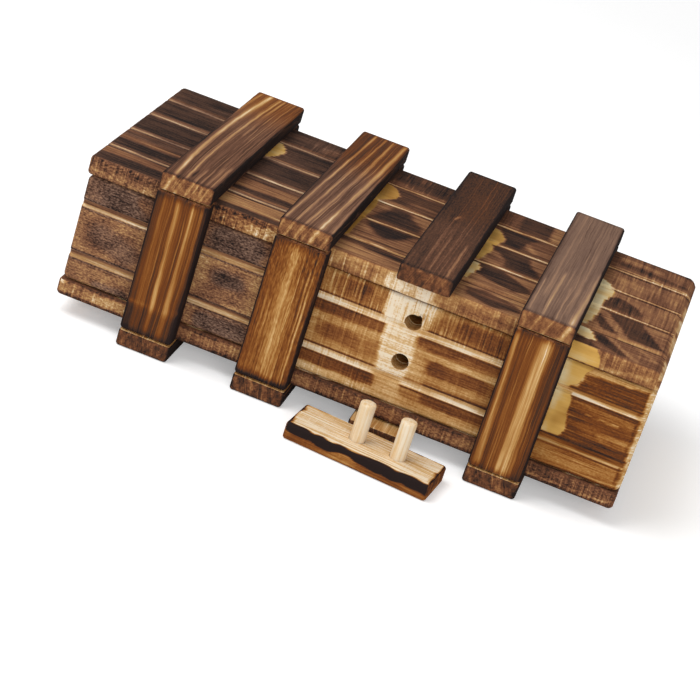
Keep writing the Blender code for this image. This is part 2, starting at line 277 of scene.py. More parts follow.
def room_of(node, along, out):
    """Middle of a CAD node and its size along, across and out of a board that replaces it."""
    centre, size = node_room(node)
    return centre, np.abs(np.stack([along, np.cross(out, along), out])) @ size


def brush(x, y, strokes, field):
    """Paint strokes over a field, one after another. Each is (x0, y0, r0, x1, y1, r1, soft,
    level): a straight stroke whose half width runs from r0 to r1 and whose edge is soft."""
    for x0, y0, r0, x1, y1, r1, soft, level in strokes:
        run = np.array([x1 - x0, y1 - y0], float)
        share = np.clip(((x - x0) * run[0] + (y - y0) * run[1]) / (run @ run), 0, 1)
        gap = np.hypot(x - x0 - share * run[0], y - y0 - share * run[1])
        cover = fade((r0 + (r1 - r0) * share - gap) / soft + 0.5)
        field = lay(field, level, cover)
    return field


def flame(x, y, seams_x, seams_y, seed):
    """Burn where a torch went over a panel: each plank is darkest in the middle of each
    bay between the seams, by an amount of its own, and paler towards the seams."""
    shift = np.random.default_rng(seed).uniform(-0.08, 0.1, (len(seams_x) + 1, len(seams_y) + 1))
    bay, plank = np.searchsorted(seams_x, x), np.searchsorted(seams_y, y)
    ends_x = np.concatenate([[x.min()], seams_x, [x.max()]])
    ends_y = np.concatenate([[y.min()], seams_y, [y.max()]])
    side_x = np.minimum(x - ends_x[bay], ends_x[bay + 1] - x)
    side_y = np.minimum(y - ends_y[plank], ends_y[plank + 1] - y)
    return 0.48 + shift[bay, plank] + 0.34 * fade((side_x - 5) / 7) * fade(side_y / 3.5)


def nearest_groove(y, grooves):
    """How far each place lies above the middle line of the groove nearest to it."""
    gaps = np.subtract.outer(y, grooves)
    return np.take_along_axis(gaps, np.abs(gaps).argmin(axis=1)[:, None], axis=1)[:, 0]


def in_groove(above):
    """1 in a groove, fading out over its upper arrises."""
    return fade((GROOVE_HALF + 0.05 - np.abs(above)) / 0.15)


def lip_shade(above):
    """1 on the thin line along each side of a groove, painted dark as shade and soot."""
    return fade(1.25 - np.abs(np.abs(above) - GROOVE_HALF - LIP_GAP) / LIP_HALF)


def seams(burn, above, bed):
    """Burn of a grooved face: each groove at the level of its bed, between two lips that are
    dark with painted shade and soot.
    """
    return lay(lay(burn, bed, in_groove(above)), 0.95, 0.8 * lip_shade(above))


def wander(spot, seed, size=2.4, amount=0.5):
    """Places moved a little by noise, so that what is painted there has a live edge."""
    return [spot[:, axis] + amount * noise(spot, size, seed + axis) for axis in range(3)]


def coat(spot, burn, pale=0.0, glue=0.0, scratch=0.0, speckle=0.0, grey=0.0, rings=None):
    """The layers that a wood material reads, each as one value for every place."""
    whole = np.ones(len(spot))
    if rings is None:
        rings = spot[:, 1] + 0.6 * noise(spot, (30, 6, 6), 5)
    return {"burn": burn * whole, "pale": pale * whole, "glue": glue * whole,
            "scratch": scratch * whole, "speckle": speckle * whole, "grey": grey * whole,
            "rings": rings}


def add_node(tree, kind, inputs, **settings):
    """Add a shader node with its settings. inputs maps a socket's name or number to a
    value, or to the output that feeds it."""
    node = tree.nodes.new(kind)
    for setting, value in settings.items():
        setattr(node, setting, value)
    for socket, value in inputs.items():
        if isinstance(value, bpy.types.NodeSocket):
            tree.links.new(value, node.inputs[socket])
        else:
            node.inputs[socket].default_value = value
    return node.outputs


def sums(tree, value, times, plus):
    """value times a factor, plus a term."""
    return add_node(tree, "ShaderNodeMath", {0: value, 1: times, 2: plus},
                    operation="MULTIPLY_ADD")[0]


def ranged(tree, value, low, high, to_low=0.0, to_high=1.0):
    """value mapped from low to high onto to_low to to_high, and held there."""
    return add_node(tree, "ShaderNodeMapRange", {
        "Value": value, "From Min": low, "From Max": high,
        "To Min": to_low, "To Max": to_high})["Result"]


def grain_noise(tree, grain, counts, detail, rough):
    """Noise in the wood's own frame, with so many waves per mm along, across and through."""
    spread = add_node(tree, "ShaderNodeVectorMath", {0: grain, 1: counts}, operation="MULTIPLY")
    return add_node(tree, "ShaderNodeTexNoise", {
        "Vector": spread[0], "Scale": 1.0, "Detail": detail, "Roughness": rough})["Fac"]


def tone_ramp(tree, value, tones):
    """A colour ramp through the given (place, colour) tones."""
    output = add_node(tree, "ShaderNodeValToRGB", {"Fac": value})["Color"]
    stops = output.node.color_ramp.elements
    while len(stops) < len(tones):
        stops.new(0.5)
    for stop, (spot, colour) in zip(stops, tones):
        stop.position = spot
        stop.color = (*colour, 1.0)
    return output


def blend_colours(tree, share, first, second):
    """The first colour where share is 0, and the second where it is 1."""
    return add_node(tree, "ShaderNodeMix", {0: share, 6: first, 7: second}, data_type="RGBA")[2]


def make_scorched_pine():
    """Shader group of flame-burnt pine: the burn, streaks, scratches and grain make up one
    level of scorching, which a ramp turns from cream through straw and rust to soot."""
    tree = bpy.data.node_groups.new("scorched_pine", "ShaderNodeTree")
    for name in ("Burn", "Pale", "Glue", "Scratch", "Speckle", "Grey", "Rings",
                 "Fibre", "Lines", "Clouds"):
        tree.interface.new_socket(name, in_out="INPUT", socket_type="NodeSocketFloat")
    tree.interface.new_socket("Grain", in_out="INPUT", socket_type="NodeSocketVector")
    tree.interface.new_socket("Colour", in_out="OUTPUT", socket_type="NodeSocketColor")
    tree.interface.new_socket("Roughness", in_out="OUTPUT", socket_type="NodeSocketFloat")
    tree.interface.new_socket("Height", in_out="OUTPUT", socket_type="NodeSocketFloat")
    given = tree.nodes.new("NodeGroupInput").outputs
    grain = given["Grain"]

    # Patterns in the wood: fibres, pits, clouds, marks across the grain, and patches
    fibre = sums(tree, grain_noise(tree, grain, (0.018, 0.9, 0.9), 4.0, 0.74), 1.0, -0.5)
    fine = sums(tree, grain_noise(tree, grain, (0.07, 1.9, 1.9), 3.0, 0.7), 1.0, -0.5)
    speck = sums(tree, grain_noise(tree, grain, (1.3, 2.3, 2.3), 1.0, 0.6), 0.75, -0.375)
    cloud = sums(tree, grain_noise(tree, grain, (0.07, 0.16, 0.16), 2.0, 0.5), 1.0, -0.5)
    cross = grain_noise(tree, grain, (1.5, 0.06, 0.06), 3.0, 0.7)
    patch = grain_noise(tree, grain, (0.2, 0.24, 0.24), 1.0, 0.5)
    # Growth rings and brush marks: both come and go in patches, and rings fade where worked
    worked = sums(tree, given["Speckle"], 0.45, given["Scratch"])
    even = ranged(tree, worked, 0.1, 1.1, 1.0, 0.15)
    ring = add_node(tree, "ShaderNodeTexNoise", {
        "W": sums(tree, cloud, 1.6, given["Rings"]), "Scale": 1.5, "Detail": 4.0,
        "Roughness": 0.75}, noise_dimensions="1D")["Fac"]
    lines = sums(tree, ranged(tree, ring, 0.52, 0.72), given["Lines"], 0.0)
    lines = sums(tree, lines, ranged(tree, patch, 0.3, 0.6, 0.25, 1.0), 0.0)
    lines = sums(tree, lines, even, 0.0)
    lines = sums(tree, lines, ranged(tree, given["Pale"], 0.1, 0.9, 1.0, 0.25), 0.0)
    marks = sums(tree, ranged(tree, cross, 0.50, 0.68), given["Scratch"], 0.0)
    marks = sums(tree, marks, ranged(tree, patch, 0.35, 0.6, 0.3, 1.0), 0.0)
    dents = sums(tree, ranged(tree, cross, 0.46, 0.30), given["Scratch"], 0.0)

    # The level of scorching, and its colours: brown wood, grey soot and yellow glue. The grey
    #     also stands for a painted sheen on the top battens
    charred = ranged(tree, given["Burn"], 0.72, 0.95, 1.0, 0.4)
    calm = sums(tree, given["Fibre"], sums(tree, even, charred, 0.0), 0.0)
    level = sums(tree, fibre, calm, given["Burn"])
    level = sums(tree, fine, calm, level)
    level = sums(tree, speck, given["Speckle"], level)
    level = sums(tree, sums(tree, patch, 0.36, -0.18), given["Speckle"], level)
    level = sums(tree, cloud, given["Clouds"], level)
    level = sums(tree, lines, -0.30, level)
    level = sums(tree, given["Pale"], -0.46, level)
    level = sums(tree, marks, -0.34, level)
    level = sums(tree, dents, 0.20, level)
    wood = tone_ramp(tree, level, BURN_TONES)
    wood = blend_colours(tree, given["Grey"], wood, tone_ramp(tree, level, SOOT_AND_SHEEN_TONES))
    glued = ranged(tree, sums(tree, speck, 0.15, given["Glue"]), 0.42, 0.58)
    yellow = tone_ramp(tree, sums(tree, fibre, 0.15, sums(tree, cloud, 0.6, given["Burn"])),
                       GLUE_TONES)
    colour = blend_colours(tree, glued, wood, yellow)

    # Glue is smoother than wood, soot is roughest, and rings and marks stand proud
    rough = sums(tree, glued, -0.20, ranged(tree, level, 0.1, 0.9, 0.72, 0.88))
    height = sums(tree, fibre, 0.55, sums(tree, fine, 0.3, 0.5))
    height = sums(tree, sums(tree, speck, given["Speckle"], 0.0), 0.9, height)
    height = sums(tree, marks, 0.35, sums(tree, lines, 0.5, height))
    add_node(tree, "NodeGroupOutput", {"Colour": colour, "Roughness": rough, "Height": height})
    return tree


SCORCHED_PINE = make_scorched_pine()


def wood_finish(name, fibre, lines, clouds, relief=0.2, gloss=0.03):
    """A wood material: the shared group fed with the piece's layers and its own values."""
    material = bpy.data.materials.new(name)
    material.use_nodes = True
    tree = material.node_tree
    inputs = {"Fibre": fibre, "Lines": lines, "Clouds": clouds}
    for layer in ("burn", "pale", "glue", "scratch", "speckle", "grey", "rings"):
        inputs[layer.capitalize()] = add_node(tree, "ShaderNodeAttribute", {},
                                              attribute_name=layer)["Fac"]
    inputs["Grain"] = add_node(tree, "ShaderNodeAttribute", {}, attribute_name="grain")["Vector"]
    pine = add_node(tree, "ShaderNodeGroup", inputs, node_tree=SCORCHED_PINE)
    bump = add_node(tree, "ShaderNodeBump", {"Height": pine["Height"], "Strength": 0.8,
                                             "Distance": relief * MM})
    shader = tree.nodes["Principled BSDF"].inputs
    tree.links.new(pine["Colour"], shader["Base Color"])
    tree.links.new(pine["Roughness"], shader["Roughness"])
    tree.links.new(bump["Normal"], shader["Normal"])
    shader["Specular IOR Level"].default_value = gloss
    return material


def dress(piece, material, body, node):
    """Give a finished piece its wood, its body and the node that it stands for."""
    piece.data.materials.append(material)
    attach(piece, body)
    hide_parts(node)


CASE_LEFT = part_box("base_panel")[0].x / MM
HOOPS = [node_room(f"bottom_batten_{number}")[0][0] - CASE_LEFT for number in (1, 2, 3, 4)]
BASE_ROOM = room_of("base_panel", RIGHT, DOWN)
BASE_GROOVES = [share * BASE_ROOM[1][1] for share in PANEL_GROOVE_SHARES]
BASE_EDGE_STROKES = [
    (0, 0.2, 1.0, 160, 0.2, 1.0, 0.9, 0.92),
    (0, 4.6, 0.5, 160, 4.6, 0.5, 0.5, 0.84),
    (1, 2.7, 1.5, 20, 2.7, 1.5, 0.9, 0.46),
    (12, 2.6, 1.3, 19, 2.6, 1.3, 1.4, 0.34),
    (36, 3.2, 0.9, 52, 3.2, 0.9, 0.7, 0.56),
    (70, 2.6, 1.4, 120, 2.6, 1.4, 1.0, 0.62),
    (136, 3.2, 1.4, 158, 3.2, 1.4, 0.8, 0.78),
    (136, 1.5, 0.2, 158, 1.4, 0.2, 0.5, 0.36),
    (0.4, 4.4, 0.8, 1.6, 4.2, 0.5, 0.6, 0.10),
]


def inside_case(x, y, size, facing, burn):
    """Burn with the inner face bare, but for the rim of it that stands out past the walls."""
    inset = np.minimum.reduce([x, size[0] - x, y, size[1] - y])
    inner = np.where(inset > OVERHANG, BARE, UNDER_OVERHANG)
    return np.where(facing[:, 2] < INWARD, inner, burn)


def paint_base(spot, facing):
    """Flame over the grooved underside, a brushed front edge, and bare wood inside."""
    size = BASE_ROOM[1]
    x, y, z = wander(spot, 11)
    above = nearest_groove(spot[:, 1], BASE_GROOVES)
    burn = seams(flame(x, y, HOOPS, BASE_GROOVES, 3), above, 0.24)
    rim = brush(x, size[2] - z, BASE_EDGE_STROKES, np.full(len(x), 0.66))
    rim = np.where(facing[:, 1] > 0, rim, PLAIN_EDGE)
    side = np.abs(facing[:, 1])
    burn = lay(burn, rim, fade(1.6 * side))
    burn = np.where(np.abs(facing[:, 0]) > 0.6, PLAIN_EDGE, burn)
    burn = inside_case(x, y, size, facing, burn)
    return coat(spot, burn, scratch=0.9 * side, speckle=0.5 + 0.5 * side, grey=0.4)


BOARD_WOOD = wood_finish("scorched_board", fibre=0.85, lines=0.45, clouds=0.35)
base = board("pine_base", BASE_ROOM, RIGHT, DOWN, paint_base, (1.6, 0.9, 0.7),
             grooves=BASE_GROOVES, seed=2)
dress(base, BOARD_WOOD, "case", "base_panel")


# The front and back walls are grooved pine boards standing on the base. The front one was
# burnt with the key in place, so a bare patch is left round its two peg holes, and glue
# squeezed from under the last batten has stayed yellow.
WALL_GROOVE_SHARES = (0.245, 0.735)
SANDING_LENGTH = 1.9
SANDING_DROP = 1.3
SANDED_BARE = 1.4
FRONT_ROOM = room_of("front_wall", RIGHT, FRONT)
FRONT_LOW = np.array(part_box("front_wall")[0]) / MM
FRONT_START = np.array([FRONT_LOW[0] - CASE_LEFT, 0, 0])
FRONT_GROOVES = [share * FRONT_ROOM[1][1] for share in WALL_GROOVE_SHARES]
SHELF_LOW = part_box("shelf")[0].z / MM
SHELF_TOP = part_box("shelf")[1].z / MM
PEG_LEVELS = (SHELF_TOP + 5.4, SHELF_LOW - 3.8)
HOLE_RADIUS = 2.35
KEY_HOOP = HOOPS[2] + CASE_LEFT
FRONT_HOLES = [(KEY_HOOP - FRONT_LOW[0], level - FRONT_LOW[2], HOLE_RADIUS, FRONT_ROOM[1][2])
               for level in PEG_LEVELS]
CHIP_PLACE = (FRONT_HOLES[0][0] + 1.7, FRONT_HOLES[0][1] + 2.0)
CHIP_DEPTH = 1.3
SOOTY_BAYS_END = 60
BRUSHED_BAYS = (66, 136)
BARE_PATCH_LEFT = 88
GREY_END = 130
LAST_BAY = 138
# Places on the front wall run from the left end of the lid and from the wall's foot
FRONT_STROKES = [
    # Left of the first batten
    (0, 27, 6.0, 21, 27, 6.0, 1.0, 0.73), (9, 26.8, 3.0, 14, 26.8, 3.0, 5.0, 0.82),
    (17, 28.0, 1.5, 20, 27.0, 1.8, 2.0, 0.64), (0, 15, 8.0, 20, 15, 8.0, 2.0, 0.54),
    (1, 18.6, 1.6, 5, 15.0, 1.6, 2.4, 0.54), (14, 19.2, 0.7, 20, 19.0, 0.8, 1.2, 0.50),
    (8, 15.4, 4.2, 16, 12.6, 4.4, 6.0, 0.73), (1, 4.0, 1.6, 7, 3.0, 1.8, 1.6, 0.52),
    (9, 1.4, 3.0, 18, 2.4, 3.0, 2.4, 0.55), (10, 0.9, 1.6, 18, 0.9, 1.8, 2.4, 0.75),
    # Between the first and the second
    (35, 27, 6.0, 52, 27, 6.0, 2.0, 0.66), (40, 27, 3.0, 48.5, 27, 3.2, 3.4, 0.86),
    (35, 15, 8.0, 52, 15, 8.0, 2.0, 0.54), (35, 20, 0.9, 51, 20, 0.9, 1.2, 0.52),
    (36, 17.6, 2.6, 38, 14.4, 2.6, 3.0, 0.48), (42.6, 16.0, 3.2, 46.6, 15.4, 3.4, 5.0, 0.79),
    (38, 11.2, 1.6, 49, 11.8, 2.6, 3.0, 0.62), (45, 9.0, 0.6, 52, 9.4, 0.8, 1.0, 0.38),
    (35, 3.4, 3.4, 37, 3.0, 3.4, 2.0, 0.54), (40.4, 2.8, 2.6, 51, 2.8, 2.6, 2.6, 0.82),
    # Left of the key's bare patch, and then right of it
    (68, 27, 5.0, 88, 27, 5.0, 2.0, 0.48), (74.4, 27.0, 2.6, 80, 27.0, 2.6, 1.4, 0.69),
    (77, 27.6, 1.2, 79.4, 27.6, 1.4, 1.6, 0.76), (82.4, 26.4, 1.2, 84, 26.4, 1.2, 1.4, 0.54),
    (68, 19.8, 1.2, 87.6, 19.7, 1.2, 0.8, 0.64), (68, 16.9, 1.2, 88, 16.9, 1.2, 0.9, 0.32),
    (68, 13.2, 2.3, 88, 13.2, 2.3, 0.9, 0.45), (72.6, 13.2, 2.0, 81, 13.2, 2.0, 1.1, 0.62),
    (85.6, 13.4, 1.7, 87.6, 13.2, 1.7, 0.9, 0.58), (68, 9.8, 1.1, 88, 9.6, 1.1, 0.8, 0.41),
    (68, 5.0, 1.9, 91, 4.8, 1.4, 0.9, 0.70), (68, 1.2, 1.7, 92, 1.0, 1.7, 0.9, 0.15),
    (94, 27, 6.0, 121, 27, 6.0, 2.0, 0.44), (104, 26.8, 2.4, 119, 26.8, 2.6, 1.6, 0.60),
    (108.4, 27.0, 2.2, 117.6, 26.8, 2.2, 1.8, 0.71), (99, 19.8, 1.2, 121, 19.8, 1.2, 0.8, 0.64),
    (97, 17.2, 1.1, 121, 17.0, 1.1, 0.9, 0.29), (103.6, 14.0, 1.8, 117, 14.0, 2.0, 1.0, 0.72),
    (99, 10.8, 1.2, 121, 10.8, 1.1, 0.9, 0.39), (106, 8.8, 0.4, 121, 8.9, 0.5, 0.5, 0.62),
    (92, 4.9, 1.3, 104, 4.9, 1.3, 1.4, 0.46), (104, 4.9, 1.4, 121, 5.0, 1.5, 0.9, 0.70),
    (92, 1.4, 2.0, 121, 1.2, 1.8, 0.9, 0.34),
    # Right of the last batten
    (135, 15.2, 8.0, 160, 15.2, 8.0, 1.0, 0.71), (141, 20.2, 0.5, 158, 19.4, 0.7, 1.0, 0.50),
    (144, 15.6, 1.4, 150, 15.0, 1.6, 1.6, 0.76), (150, 13.0, 0.7, 158, 13.6, 1.0, 1.4, 0.50),
    (145, 17.5, 0.15, 154, 17.6, 0.3, 0.4, 0.34), (146, 10.2, 1.0, 157, 10.4, 1.2, 1.2, 0.76),
    (135, 3.0, 3.2, 160, 3.0, 3.2, 0.8, 0.52), (136, 3.2, 1.2, 158, 3.6, 1.2, 1.2, 0.43),
    (136, 0.4, 0.5, 158, 0.4, 0.5, 0.6, 0.66),
]
FRONT_BURNT_PATCHES = [
    (0.26, 0.8, [(135, 23.4), (160, 23.4), (160, 31), (135, 31)]),
    (0.76, 0.6, [(140.4, 24.0), (158.4, 24.0), (158.6, 29.8), (152, 28.7), (145, 28.6),
                 (141.6, 28.0), (141.0, 26)]),
]
FRONT_BARE_PATCHES = [
    (0.00, 0.9, [(86.2, 31), (86.4, 24), (87.4, 22), (95.6, 22), (97.6, 25), (98.6, 31)]),
    (0.13, 2.2, [(97, 31), (96, 22), (98.6, 22), (101, 31)]),
    (0.30, 2.2, [(94, 19.6), (100.0, 19.0), (101.6, 15), (101.6, 8.6), (94, 8.6)]),
    (0.07, 1.5, [(88.4, 22), (88.0, 17), (89.2, 8), (97.0, 8), (97.6, 15), (97.0, 22)]),
    (0.24, 1.8, [(88.8, 7.4), (90.6, 0), (98, 0), (96.4, 7.4)]),
]
FRONT_GLUE = [
    (0.31, [(135, 31), (143.5, 31), (141.6, 28.8), (141.0, 26.4), (140.4, 24.8),
            (138.6, 23.8), (138.2, 22.6), (135, 22.6)]),
    (0.35, [(135, 22.6), (139.4, 21.8), (140.2, 19.2), (139.8, 16.2), (140.6, 13.4),
            (141.3, 11.0), (140.6, 8.9), (135, 8.9)]),
]
# Along each groove: places, then the burn of its lower part there, then of its upper part,
# then how far below the groove's middle the upper part starts. The bed is bare wood; its
# lower part is painted paler as a highlight where the flank faces up, its upper part darker
# as painted shade
FRONT_BEDS = (
    ((0, 20, 36, 52, 68, 121, 135, 160), (0.24, 0.24, 0.16, 0.16, 0.02, 0.05, 0.20, 0.20),
     (0.66, 0.66, 0.60, 0.60, 0.16, 0.30, 0.62, 0.62),
     (0.35, 0.35, 0.35, 0.35, 0.10, 0.35, 0.80, 0.80)),
    ((0, 20, 36, 52, 68, 121, 135, 160), (0.18, 0.18, 0.32, 0.32, 0.02, 0.02, 0.06, 0.06),
     (0.64, 0.64, 0.60, 0.60, 0.14, 0.16, 0.50, 0.50),
     (0.60, 0.60, 0.10, 0.10, 0.35, 0.35, 0.50, 0.50)),
)


def inside_of(x, y, outline):
    """How far each place lies inside an outline of corners; less than 0 is outside."""
    gap = np.full(len(x), np.inf)
    within = np.zeros(len(x), bool)
    for (x0, y0), (x1, y1) in zip(outline, outline[1:] + outline[:1]):
        run = np.array([x1 - x0, y1 - y0], float)
        share = np.clip(((x - x0) * run[0] + (y - y0) * run[1]) / (run @ run), 0, 1)
        gap = np.minimum(gap, np.hypot(x - x0 - share * run[0], y - y0 - share * run[1]))
        rise = run[1] if run[1] else 1.0
        within ^= ((y0 > y) != (y1 > y)) & (x < x0 + (y - y0) * run[0] / rise)
    return np.where(within, gap, -gap)


def fill(x, y, patches, field):
    """Paint patches over a field: each is (level, soft, corners of its outline)."""
    for level, soft, outline in patches:
        field = lay(field, level, fade(inside_of(x, y, outline) / soft + 0.5))
    return field


def sanded_bevel(spot, length):
    """How far the right end is lowered by sanding: evenly more over SANDING_LENGTH, up to
    SANDING_DROP at the very end of a board of the given length."""
    return SANDING_DROP * np.clip(1 - (length - spot[:, 0]) / SANDING_LENGTH, 0, None)


def front_lowered(spot):
    """The bevel sanded along the right end, and the splinter lost beside the upper hole."""
    gap = np.hypot(spot[:, 0] - CHIP_PLACE[0], spot[:, 1] - CHIP_PLACE[1])
    chip = CHIP_DEPTH * fade((1.0 - gap) / 0.5 + 0.5 * noise(spot, 0.7, 71))
    return np.maximum(sanded_bevel(spot, FRONT_ROOM[1][0]), chip)


def pools(x, y, spots):
    """Glue pools (tone, outline): 0.5 on the rim of each and more inside, with its tone."""
    deep, tone = np.zeros(len(x)), np.zeros(len(x))
    for level, outline in spots:
        depth = np.clip(0.5 + inside_of(x, y, outline) / 1.2, 0, 1)
        tone = np.where(depth > deep, level, tone)
        deep = np.maximum(deep, depth)
    return deep, tone


def paint_front_grooves(spot, x, burn):
    """Burn of the front wall with its grooves: each bed is paler below than above, as given
    along it by FRONT_BEDS, a painted highlight below and painted shade above, and a dark
    line of painted shade and soot lies along its lips, most along the upper one."""
    above = nearest_groove(spot[:, 1], FRONT_GROOVES)
    high = spot[:, 1] > sum(FRONT_GROOVES) / 2
    lit_low_part, shaded_high_part, drop = (
        np.where(high, *(np.interp(x, bed[0], bed[row]) for bed in FRONT_BEDS[::-1]))
        for row in (1, 2, 3))
    bed = in_groove(above)
    # Bed: painted highlight on its lower part, painted shade on its upper part
    burn = lay(burn, lay(lit_low_part, shaded_high_part, fade((above + drop) / 0.45)), bed)
    # Lips painted dark as shade and soot, the upper one more, as it is turned from the light
    return lay(burn, 0.97, (0.9 - 0.25 * (above < 0)) * lip_shade(above)), bed


def paint_front(spot, facing):
    """Scorching of the front wall, plank by plank, with its bare patch and its glue."""
    x, y = wander(spot + FRONT_START, 21, 1.8, 0.3)[:2]
    burn = brush(x, y, FRONT_STROKES, np.full(len(x), 0.60))
    burn = fill(x, y, FRONT_BURNT_PATCHES, burn)
    burn, bed = paint_front_grooves(spot, x, burn)
    burn = fill(x, y, FRONT_BARE_PATCHES, burn)

    to_end = FRONT_ROOM[1][0] - spot[:, 0] - 0.5 * noise(spot, 1.2, 25)
    burn = lay(burn, 0.88, 0.8 * fade(1 - np.abs(SANDING_LENGTH - to_end) / 0.45))
    flecks = 0.16 + 0.55 * fade(3 * noise(spot, (1.2, 3, 3), 27) - 0.1)
    burn = lay(burn, flecks, fade((SANDED_BARE - to_end) / 0.5))
    burn = np.where(facing[:, 2] < INWARD, BARE, burn)
    burn = np.where(arris(facing) > 0.95, 0.30, burn)

    wet_x, wet_y = wander(spot + FRONT_START, 23, 5.0, 0.5)[:2]
    glue, tone = pools(wet_x, wet_y, FRONT_GLUE)
    burn = np.where(glue > 0.3, tone - 0.12 * fade((LAST_BAY - x) / 2), burn)
    brushed = fade((x - BRUSHED_BAYS[0]) / 4) * fade((BRUSHED_BAYS[1] - x) / 4)
    top_plank = fade((y - FRONT_GROOVES[1]) / 1.5)
    scratch = brushed * (0.25 + 0.35 * (x < BARE_PATCH_LEFT) + 0.95 * top_plank)
    scratch = scratch + 0.5 * top_plank * fade((10 - x) / 6)
    sooty = fade((SOOTY_BAYS_END - x) / 8)
    grey = 0.1 * (x < GREY_END) + sooty * (0.4 + 0.5 * fade((burn - 0.62) / 0.2))
    return coat(spot, burn, glue=glue * (1 - 0.3 * bed), scratch=scratch, grey=grey,
                speckle=(0.45 + 0.85 * sooty) * (1 - 0.8 * bed))


front = board("pine_front", FRONT_ROOM, RIGHT, FRONT, paint_front, (0.55, 0.42, 0.8),
              grooves=FRONT_GROOVES, lower=front_lowered, holes=FRONT_HOLES, seed=3)
dress(front, BOARD_WOOD, "case", "front_wall")

BACK_ROOM = room_of("back_wall", LEFT, BACK)
BACK_GROOVES = [share * BACK_ROOM[1][1] for share in WALL_GROOVE_SHARES]
BACK_HOOPS = [BACK_ROOM[1][0] - hoop for hoop in reversed(HOOPS)]


def paint_back(spot, facing):
    """The back wall was burnt evenly, with paler seams and pale groove beds."""
    x, y = wander(spot, 41)[:2]
    burn = flame(x, y, BACK_HOOPS, BACK_GROOVES, 7)
    grey = 0.15 + 0.6 * fade((burn - 0.62) / 0.2)
    burn = seams(burn, nearest_groove(spot[:, 1], BACK_GROOVES), 0.20)
    burn = np.where(np.abs(facing[:, 0]) > 0.6, 0.70, burn)
    burn = np.where(facing[:, 2] < INWARD, BARE, burn)
    return coat(spot, burn, scratch=0.15, speckle=0.9, grey=grey)


back = board("pine_back", BACK_ROOM, LEFT, BACK, paint_back, (1.4, 0.7, 1.0),
             grooves=BACK_GROOVES, seed=4)
dress(back, BOARD_WOOD, "case", "back_wall")


# The shelf and the two fixed end boards are plain bare pine glued between the walls. The
# left end board is scorched outside, and the right one was sanded flush with the case.
PLAIN_ROUND = 0.4
BARE_WOOD = wood_finish("bare_pine_board", fibre=0.26, lines=0.60, clouds=0.22, relief=0.06)


def paint_bare(spot, facing):
    """Bare pine, a little browner at its arrises and in its holes."""
    return coat(spot, BARE + 0.3 * arris(facing), speckle=0.05)


def paint_scorched_end(spot, facing):
    """Bare inside and burnt outside, darkest in the middle, as the long walls are."""
    x, y = wander(spot, 51)[:2]
    blot = np.hypot(2 * x / x.max() - 1, 2 * y / y.max() - 1)
    burn = 0.58 + 0.26 * fade(1.2 - blot)
    return coat(spot, np.where(facing[:, 2] > -0.3, burn, BARE), speckle=0.7, grey=0.3)


def paint_sanded_end(spot, facing):
    """Sanded outside: pale, with brown left in the low places, and bare inside."""
    stain = fade(2.2 * noise(spot, (7, 2.2, 2), 63) - 0.2)
    burn = np.where(facing[:, 2] > 0.3, 0.16 + 0.34 * stain, BARE)
    return coat(spot, burn, scratch=0.2, speckle=0.2)


def plain_board(node, body, along, out, paint, material, seed, holes=(), step=1.6):
    """A board with lightly eased arrises, named after its node."""
    piece = board("pine_" + node, room_of(node, along, out), along, out, paint,
                  (step, 0.8, 1.0), corner=PLAIN_ROUND, edge=PLAIN_ROUND, holes=holes,
                  wear=0.06, seed=seed)
    dress(piece, material, body, node)
    return piece


plain_board("shelf", "case", RIGHT, UP, paint_bare, BARE_WOOD, 5)
plain_board("lower_end_board", "case", BACK, RIGHT, paint_sanded_end, BARE_WOOD,
            6)
plain_board("upper_end_board", "case", FRONT, LEFT, paint_scorched_end, BOARD_WOOD,
            7)


